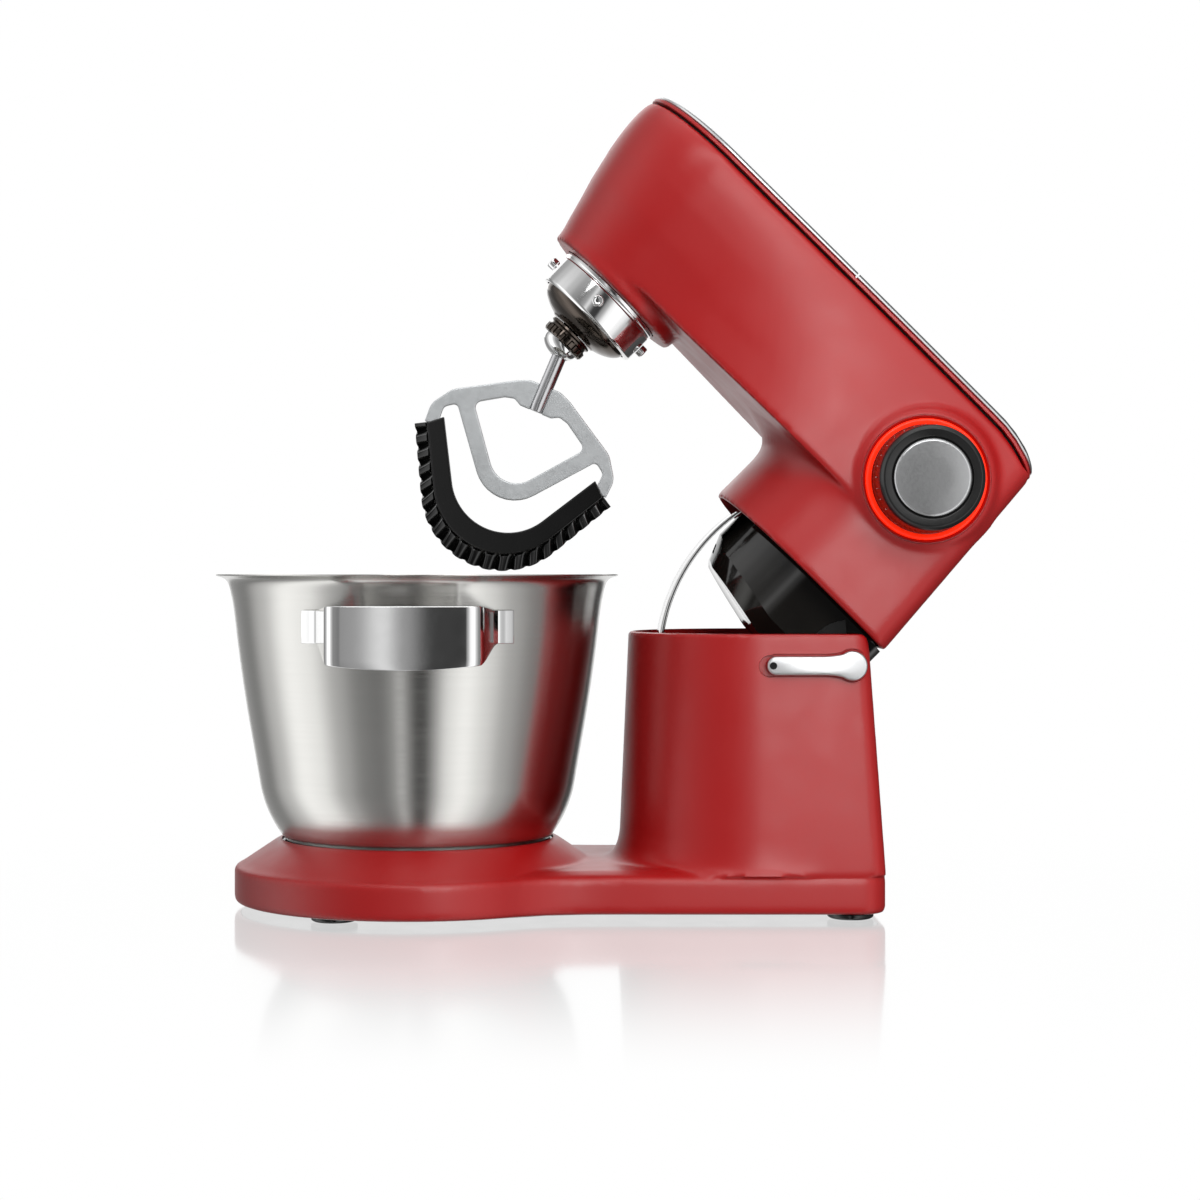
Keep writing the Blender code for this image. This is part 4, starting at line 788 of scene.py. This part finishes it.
def bore_for_tool(solid):
    combine(solid, cylinder("bore", (0, 0, -30), (0, 0, 60), TOOL_BORE_R, TOOL, 48), "DIFFERENCE")


def make_hub():
    collar = turned("hub_band", rounded_profile([
        (36.9, 214.6), (36.9, 212.6, 0.5), (36.4, 212, 0.3), (36.4, 210.8, 0.3), (36.9, 210.2, 0.4),
        (36.9, 193.4, 1.0), (35.6, 192, 0.6), (33.4, 192, 0.3), (33.4, 214.6), (36.9, 214.6),
    ], steps=5), ARM, 128)
    piece(collar, "arm", "polished_steel", "hub_collar")
    for name, angle in (("front", 180), ("near", 270), ("rear", 0), ("far", 90)):
        turn = ARM @ Matrix.Rotation(math.radians(angle), 4, "Z") @ Matrix.Translation((0, 0, 203))
        along = turn @ Matrix.Rotation(math.pi / 2, 4, "Y")
        pin = turned("pin_" + name, rounded_profile([
            (0, 41.0), (1.5, 41.0, 0.3), (2.2, 41.3, 0.2), (3.0, 41.3, 0.6), (3.6, 40.6, 0.5), (3.6, 37.2), (0, 37.2),
        ]), along, 40)
        piece(pin, "arm", "polished_steel", "collar_pin_" + name)
    dome = turned("dome", rounded_profile([
        (0, 208), (32.4, 208, 0.4), (32.8, 194.5, 1.5), (32.0, 190.2, 2), (28.4, 186.4, 3), (22.4, 183.2, 3),
        (17.2, 181.6, 1), (16.2, 180.8, 0.3), (0, 180.8),
    ], steps=8), ARM, 128)
    bore_for_tool(dome)
    piece(dome, "hub", "dark_metal", "hub_dome")
    shape = bmesh.new()
    rows = [(13.6, 180.4), (15.2, 179.8), (15.4, 178.6), (13.9, 177.6), (13.9, 176.4), (15.3, 175.4), (15.2, 172.2),
            (14.4, 171.0), (12.0, 170.7)]
    steps, rings = 192, []
    for r, z in rows:
        ring = []
        for k in range(steps):
            angle = 2 * math.pi * k / steps
            tooth = 0.0
            if z < 176:
                tooth = 1.1 if math.cos(24 * angle) > 0.2 else 0.0
            ring.append(shape.verts.new(((r - tooth) * math.cos(angle), (r - tooth) * math.sin(angle), z)))
        rings.append(ring)
    bridge(shape, rings)
    shape.faces.new(rings[0])
    shape.faces.new(list(reversed(rings[-1])))
    ribbed = finish_mesh("ribbed_collar", shape, ARM, 30)
    bore_for_tool(ribbed)
    piece(ribbed, "hub", "dark_metal", "tool_collar")
    ball = [(0, 170.4)] + [
        (12.3 * math.cos(math.pi / 2 * k / 12), 170.4 - 8.6 * math.sin(math.pi / 2 * k / 12)) for k in range(12)
    ] + [(0, 161.8)]
    cap = turned("ball_cap", ball, ARM, 96)
    bore_for_tool(cap)
    piece(cap, "hub", "polished_steel", "hub_cap")


def band(apex, slope, radius, top_half, count=40):
    """Half of a U-shaped edge: down a straight side, then round a bottom arc centred on the axis."""
    tilt = math.atan(slope)
    centre = apex - radius / math.sin(tilt)
    start = (top_half, -(apex - top_half / slope))
    join = (radius * math.cos(tilt), -(centre + radius * math.sin(tilt)))
    points = [
        (start[0] + (join[0] - start[0]) * k / 30, start[1] + (join[1] - start[1]) * k / 30) for k in range(30)
    ]
    for k in range(count + 1):
        angle = tilt + (math.pi / 2 - tilt) * k / count
        points.append((radius * math.cos(angle), -(centre + radius * math.sin(angle))))
    points[-1] = (0.0, points[-1][1])
    return points


def both(half):
    return half + [(-x, y) for x, y in reversed(half[:-1])]


def fused(name, pieces, voxel, rounds):
    """Several solids joined and remeshed into one with soft edges."""
    with bpy.context.temp_override(active_object=pieces[0], selected_editable_objects=pieces, object=pieces[0]):
        bpy.ops.object.join()
    whole = soften(pieces[0], voxel, rounds)
    whole.name = name
    whole.data.shade_smooth()
    return whole


def make_beater():
    upright = TOOL @ Matrix.Rotation(math.pi / 2, 4, "X")
    edge = both(band(177, 0.57, 40.5, 55.5))
    top = corner_arcs(mirrored([
        (0, -33.2, 0), (10, -33.2, 9), (18, -36.5, 9), (53.5, -57.5, 14), (62.6, -71, 12), (62.0, -83, 0),
    ]))
    right = [p for p in top if p[0] > 0]
    outer = right + [(57.5, -83)] + edge + [(-57.5, -83)] + [(-x, y) for x, y in reversed(right)]
    upper = corner_arcs(mirrored([
        (0, -50.6, 0), (10.5, -50.6, 2.5), (15.4, -48, 2.5), (21.4, -49.6, 2.5), (38.0, -60.2, 4), (0, -108.4, 17),
    ]))
    lower_top = corner_arcs([
        (-54, -77.5, 0), (-54.4, -70, 4), (-47.4, -65, 3), (0, -124, 25), (47.4, -65, 3), (54.4, -70, 4), (54, -77.5, 0),
    ])
    lower = both(band(166.8, 0.57, 35.8, 50.8)) + lower_top
    casting = fused("beater_casting", [flat("casting", [outer, upper, lower], 4.4, upright)], 0.45, 3)
    slot_cut = cylinder("slot", (0, 0, -10), (0, 0, -52), 4.9, TOOL, 48)
    combine(casting, slot_cut, "DIFFERENCE")
    casting.data.shade_smooth()
    piece(casting, "beater", "cast_aluminium", "beater_frame")
    shaft = turned("tool_shaft", rounded_profile([
        (0, -2), (4.75, -2, 0.4), (4.75, -46, 0.4), (4.4, -50.4, 0.6), (0, -50.4),
    ]), TOOL, 64)
    piece(shaft, "beater", "plain_steel", "beater_shaft")
    inner = both(band(166.4, 0.57, 35.6, 51.6))
    spine = both(band(193, 0.55, 45.4, 60.2))
    channel = fused("scraper_channel", [flat("channel", [inner + list(reversed(spine))], 7.8, upright)], 0.4, 3)
    piece(channel, "beater", "black_rubber", "scraper_blade")
    skirt = ruffled("scraper_skirt", band(191, 0.55, 44.6, 59.6), band(213.5, 0.53, 51.5, 67.0), 10, upright)
    piece(skirt, "beater", "black_rubber")


def ruffled(name, inside, outside, count, matrix):
    """A thin wavy rubber skirt between two U-shaped edges, each ruffle leaning over the next one down."""
    inner, outer = both(inside), both(outside)
    steps, across = count * 2 * 14, 7
    shape = bmesh.new()
    loops = []
    for k in range(steps + 1):
        u = k / steps
        root, tip = share_along(inner, u), share_along(outer, u)
        down = (u if u < 0.5 else 1 - u) * 2 * count
        turn = 2 * math.pi * down
        wave = math.cos(turn - 0.9 * math.sin(turn))
        loop = []
        for j in range(across + 1):
            t = j / across
            point = root.lerp(tip, t * (0.96 + 0.04 * wave))
            loop.append((point, 2.9 * t**0.7 * wave, 0.85 - 0.35 * t))
        front = [shape.verts.new((p.x, p.y, z + half)) for p, z, half in loop]
        back = [shape.verts.new((p.x, p.y, z - half)) for p, z, half in reversed(loop)]
        loops.append(front + back)
    bridge(shape, loops)
    shape.faces.new(loops[0])
    shape.faces.new(loops[-1])
    bmesh.ops.triangulate(shape, faces=[f for f in shape.faces if len(f.verts) > 4])
    return finish_mesh(name, shape, matrix, 50)


def share_along(points, share):
    """The point at this share of a line's length."""
    lengths = [0.0]
    for a, b in zip(points, points[1:]):
        lengths.append(lengths[-1] + math.dist(a, b))
    return along_edge(points, lengths, share * lengths[-1])


def along_edge(points, lengths, distance):
    distance = min(max(distance, 0.0), lengths[-1])
    for k in range(len(points) - 1):
        if distance <= lengths[k + 1]:
            u = (distance - lengths[k]) / (lengths[k + 1] - lengths[k])
            return Vector(points[k]).lerp(Vector(points[k + 1]), u)
    return Vector(points[-1])


# ---------------------------------------------------------------- bowl


def make_bowl():
    outer = [(126.0, 207.3), (126.2, 206.6), (125.2, 206.1), (121.8, 205.3), (119.4, 203.4), (118.1, 201), (117.1, 197),
             (115.0, 187), (112.2, 161), (107.2, 126), (101.0, 91)]
    arc_outer, arc_inner = [], []
    for k in range(25):
        angle = math.radians(10.4) + (math.pi / 2 - math.radians(10.4)) * k / 24
        arc_outer.append((24.7 + 75 * math.cos(angle), 89.5 - 75 * math.sin(angle)))
        arc_inner.append((24.7 + 73.8 * math.cos(angle), 89.5 - 73.8 * math.sin(angle)))
    smooth = smoothed(outer + arc_outer[:1], 2, closed=False)
    inner_side = smoothed([(125.6, 207.3), (121.5, 206.6), (118.4, 204.2), (116.8, 201), (115.9, 197), (113.8, 187),
                           (111.0, 161), (106.0, 126), (99.8, 91), arc_inner[0]], 2, closed=False)
    bottom = [(0, 14.5), (0, 15.7)]
    profile = smooth + arc_outer[1:] + bottom + list(reversed(arc_inner[1:])) + list(reversed(inner_side))
    bowl = turned("bowl", profile, BASE, 192, closed=True, smooth_angle=60)
    piece(bowl, "bowl", "brushed_steel", "bowl_shell")
    foot = turned("bowl_ring", rounded_profile([
        (36, 14.8), (44, 16.3), (44, 9.5, 1.2), (42.4, 9.3, 0.4), (37.6, 9.3, 0.4), (36, 9.5, 1.2), (36, 14.8),
    ]), BASE, 128)
    piece(foot, "bowl", "brushed_steel", "bowl_foot")
    make_handle("handle_near", "bowl_handle_near", BASE)
    make_handle("handle_far", "bowl_handle_far", BASE @ Matrix.Rotation(math.pi, 4, "Z"))


def make_handle(name, node_name, matrix):
    """A bent steel strip: tabs welded to the bowl, sides coming forward, a bowed front with a curved lower edge."""
    tab_in = -math.sqrt(116.0**2 - 54.0**2)
    right = [(40 * k / 10, -139.9 + 2.2 * (k / 10) ** 2) for k in range(11)]
    right += [(42.4, -136.6), (43.6, -135.2)]
    right += [(44.6 + (52.2 - 44.6) * k / 6, -134.0 + (tab_in - 2.6 + 134.0) * k / 6) for k in range(7)]
    right += [(53.2, tab_in - 0.9), (54.6, tab_in - 0.35)]
    for k in range(1, 6):
        x = 54.6 + 8.0 * k / 5
        right.append((x, -math.sqrt(116.1**2 - x * x)))
    path = [(-x, y) for x, y in reversed(right[1:])] + right
    shape = bmesh.new()
    rows = []
    for x, y in path:
        reach = abs(x)
        if reach <= 43.6:
            top, bottom = 189.0, 153.6 + 0.9 * (reach / 40) ** 2 - 1.6 * (1 - (reach / 43.6) ** 2)
        elif reach < 53.2:
            u = (reach - 43.6) / 9.6
            u = u * u * (3 - 2 * u)
            top, bottom = 189.0 - 2.8 * u, 154.5 + 12.0 * u
        else:
            top, bottom = 186.2, 166.5
        column = [shape.verts.new((x, y, bottom + (top - bottom) * k / 8)) for k in range(9)]
        rows.append(column)
    for near, far in zip(rows, rows[1:]):
        for k in range(8):
            shape.faces.new((near[k], far[k], far[k + 1], near[k + 1]))
    strip = finish_mesh(name, shape, matrix, 0)
    solid = strip.modifiers.new("thick", "SOLIDIFY")
    solid.thickness, solid.offset = 1.5 * MM, 0.0
    apply(strip)
    bevelled(strip, 0.5, 3, 60)
    piece(strip, "bowl", "polished_steel", node_name)


def make_feet():
    for name in ("foot_front_near", "foot_front_far", "foot_rear_near", "foot_rear_far"):
        low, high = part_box(name)
        centre = (low + high) / 2
        matrix = Matrix.Translation((centre.x, centre.y, low.z)) @ FROM_MM
        foot = turned(name + "_pad", rounded_profile([
            (0, 3.3), (14, 3.3, 0.2), (14, 1.2, 0.8), (12.4, 0, 0.8), (8, 0, 0.3), (7.4, 0.7, 0.3), (0, 0.7),
        ]), matrix, 64)
        piece(foot, "base", "black_rubber", name)


# ---------------------------------------------------------------- studio


def make_floor_material():
    """White studio floor with a mirror image of the object that fades with distance from it."""
    material = bpy.data.materials.new("floor")
    material.use_nodes = True
    tree = material.node_tree
    shader = tree.nodes["Principled BSDF"]
    shader.inputs["Base Color"].default_value = (0.97, 0.97, 0.97, 1)
    shader.inputs["Metallic"].default_value = 1.0
    shader.inputs["Roughness"].default_value = 0.09
    coords = tree.nodes.new("ShaderNodeTexCoord").outputs["Object"]
    squeeze = node(tree, "ShaderNodeMapping", {"Scale": (0.7, 1.0, 1.0)})
    distance = node(tree, "ShaderNodeVectorMath", operation="LENGTH")
    fade = node(tree, "ShaderNodeMapRange", {
        "From Min": 0.17, "From Max": 0.55, "To Min": 0.6, "To Max": 1.0,
    }, interpolation_type="SMOOTHSTEP")
    white = node(tree, "ShaderNodeEmission", {"Color": (1, 1, 1, 1), "Strength": 1.0})
    blend = tree.nodes.new("ShaderNodeMixShader")
    tree.links.new(coords, squeeze.inputs["Vector"])
    tree.links.new(squeeze.outputs["Vector"], distance.inputs[0])
    tree.links.new(distance.outputs["Value"], fade.inputs["Value"])
    tree.links.new(fade.outputs["Result"], blend.inputs["Fac"])
    tree.links.new(shader.outputs["BSDF"], blend.inputs[1])
    tree.links.new(white.outputs["Emission"], blend.inputs[2])
    tree.links.new(blend.outputs["Shader"], tree.nodes["Material Output"].inputs["Surface"])
    return material


def studio_cards(tree):
    """What surrounds the object: bright and dark upright cards at azimuths measured from the camera's side."""
    cards = (
        (-180, 1.0), (-164, 1.0), (-156, 0.4), (-131, 0.3), (-110, 0.8), (-88, 1.65), (-72, 1.45), (-52, 0.65),
        (-36, 0.32), (-22, 0.25), (-14, 0.4), (-8, 0.95), (-4, 0.4), (2, 0.06), (9, 0.05), (14, 0.45), (24, 1.3),
        (36, 1.65), (50, 1.2), (66, 0.65), (84, 0.34), (104, 0.24), (123, 0.1), (150, 0.07), (162, 0.1), (166, 1.0),
        (180, 1.0),
    )
    coords = tree.nodes.new("ShaderNodeTexCoord").outputs["Generated"]
    parts = tree.nodes.new("ShaderNodeSeparateXYZ")
    tree.links.new(coords, parts.inputs["Vector"])
    turn = node(tree, "ShaderNodeMath", operation="ARCTAN2")
    tree.links.new(parts.outputs["X"], turn.inputs[0])
    flip = node(tree, "ShaderNodeMath", operation="MULTIPLY")
    tree.links.new(parts.outputs["Y"], flip.inputs[0])
    flip.inputs[1].default_value = -1.0
    tree.links.new(flip.outputs["Value"], turn.inputs[1])
    place = node(tree, "ShaderNodeMapRange", {"From Min": -math.pi, "From Max": math.pi})
    tree.links.new(turn.outputs["Value"], place.inputs["Value"])
    ramp = tree.nodes.new("ShaderNodeValToRGB")
    ramp.color_ramp.interpolation = "EASE"
    while len(ramp.color_ramp.elements) < len(cards):
        ramp.color_ramp.elements.new(0.5)
    for element, (azimuth, value) in zip(ramp.color_ramp.elements, cards):
        element.position = (azimuth + 180) / 360
        element.color = (value, value, value, 1)
    tree.links.new(place.outputs["Result"], ramp.inputs["Fac"])
    height = node(tree, "ShaderNodeMapRange", {"From Min": 0.35, "From Max": 0.95}, interpolation_type="SMOOTHSTEP")
    tree.links.new(parts.outputs["Z"], height.inputs["Value"])
    sky = node(tree, "ShaderNodeMix", data_type="RGBA")
    tree.links.new(height.outputs["Result"], sky.inputs["Factor"])
    tree.links.new(ramp.outputs["Color"], sky.inputs["A"])
    sky.inputs["B"].default_value = (0.6, 0.6, 0.6, 1)
    return sky.outputs["Result"]


def make_stage():
    floor_shape = bmesh.new()
    bmesh.ops.create_grid(floor_shape, x_segments=1, y_segments=1, size=6)
    floor = finish_mesh("floor", floor_shape, Matrix.Identity(4), 0)
    floor.data.materials.append(make_floor_material())
    floor.visible_diffuse = False
    floor.visible_glossy = False
    world = bpy.data.worlds.new("studio")
    bpy.context.scene.world = world
    world.use_nodes = True
    tree = world.node_tree
    background = tree.nodes["Background"]
    path = tree.nodes.new("ShaderNodeLightPath")
    soft = node(tree, "ShaderNodeMix", data_type="RGBA")
    tree.links.new(path.outputs["Is Diffuse Ray"], soft.inputs["Factor"])
    tree.links.new(studio_cards(tree), soft.inputs["A"])
    soft.inputs["B"].default_value = (0.3, 0.3, 0.3, 1)
    mix = node(tree, "ShaderNodeMix", data_type="RGBA")
    tree.links.new(path.outputs["Is Camera Ray"], mix.inputs["Factor"])
    tree.links.new(soft.outputs["Result"], mix.inputs["A"])
    mix.inputs["B"].default_value = (1, 1, 1, 1)
    tree.links.new(mix.outputs["Result"], background.inputs["Color"])
    for name, place, target, size, power, seen in (
        ("key", (0.9, -1.6, 0.9), (0.05, 0, 0.2), (0.8, 0.8), 15, False),
        ("strip", (0.27, -1.4, 0.42), (0.27, 0, 0.42), (0.22, 0.9), 7.0, True),
        ("overhead", (0.1, -1.2, 1.25), (0.1, 0, 0.3), (1.3, 0.4), 7, True),
        ("top", (0.0, -0.2, 2.2), (0, 0, 0), (2.0, 1.6), 10, True),
        ("back", (-0.4, 2.0, 1.2), (0, 0, 0.2), (2.4, 1.2), 8, True),
    ):
        light = bpy.data.lights.new(name, "AREA")
        light.shape, light.size, light.size_y, light.energy = "RECTANGLE", size[0], size[1], power
        lamp = bpy.data.objects.new(name, light)
        lamp.visible_glossy = seen
        bpy.context.scene.collection.objects.link(lamp)
        lamp.location = place
        lamp.rotation_euler = (Vector(target) - Vector(place)).to_track_quat("-Z", "Y").to_euler()
        if name == "strip":
            lamp.light_linking.receiver_collection = PAINTED
    bpy.context.scene.view_settings.view_transform = "Standard"


def make_camera():
    data = bpy.data.cameras.new("camera")
    data.lens, data.sensor_width = 75, 36
    data.shift_x, data.shift_y = 0.0208, -0.0233
    camera = bpy.data.objects.new("camera", data)
    camera.location = (BOWL_X * MM + 0.0989, -1.575, 0.2087)
    camera.rotation_euler = (math.pi / 2, 0, 0)
    bpy.context.scene.collection.objects.link(camera)
    bpy.context.scene.camera = camera


for cad_name, cad_object in NODES.items():
    cad_object.data.materials.clear()
    cad_object.data.materials.append(SLOTS[NODE_SLOT[cad_name]])
    smooth_shade(cad_object.data, THIN_SHARP)

make_base()
make_lever()
make_arm()
make_arm_top()
make_tub()
make_strap()
make_knob()
make_hub()
make_beater()
make_bowl()
make_feet()
make_stage()
make_camera()
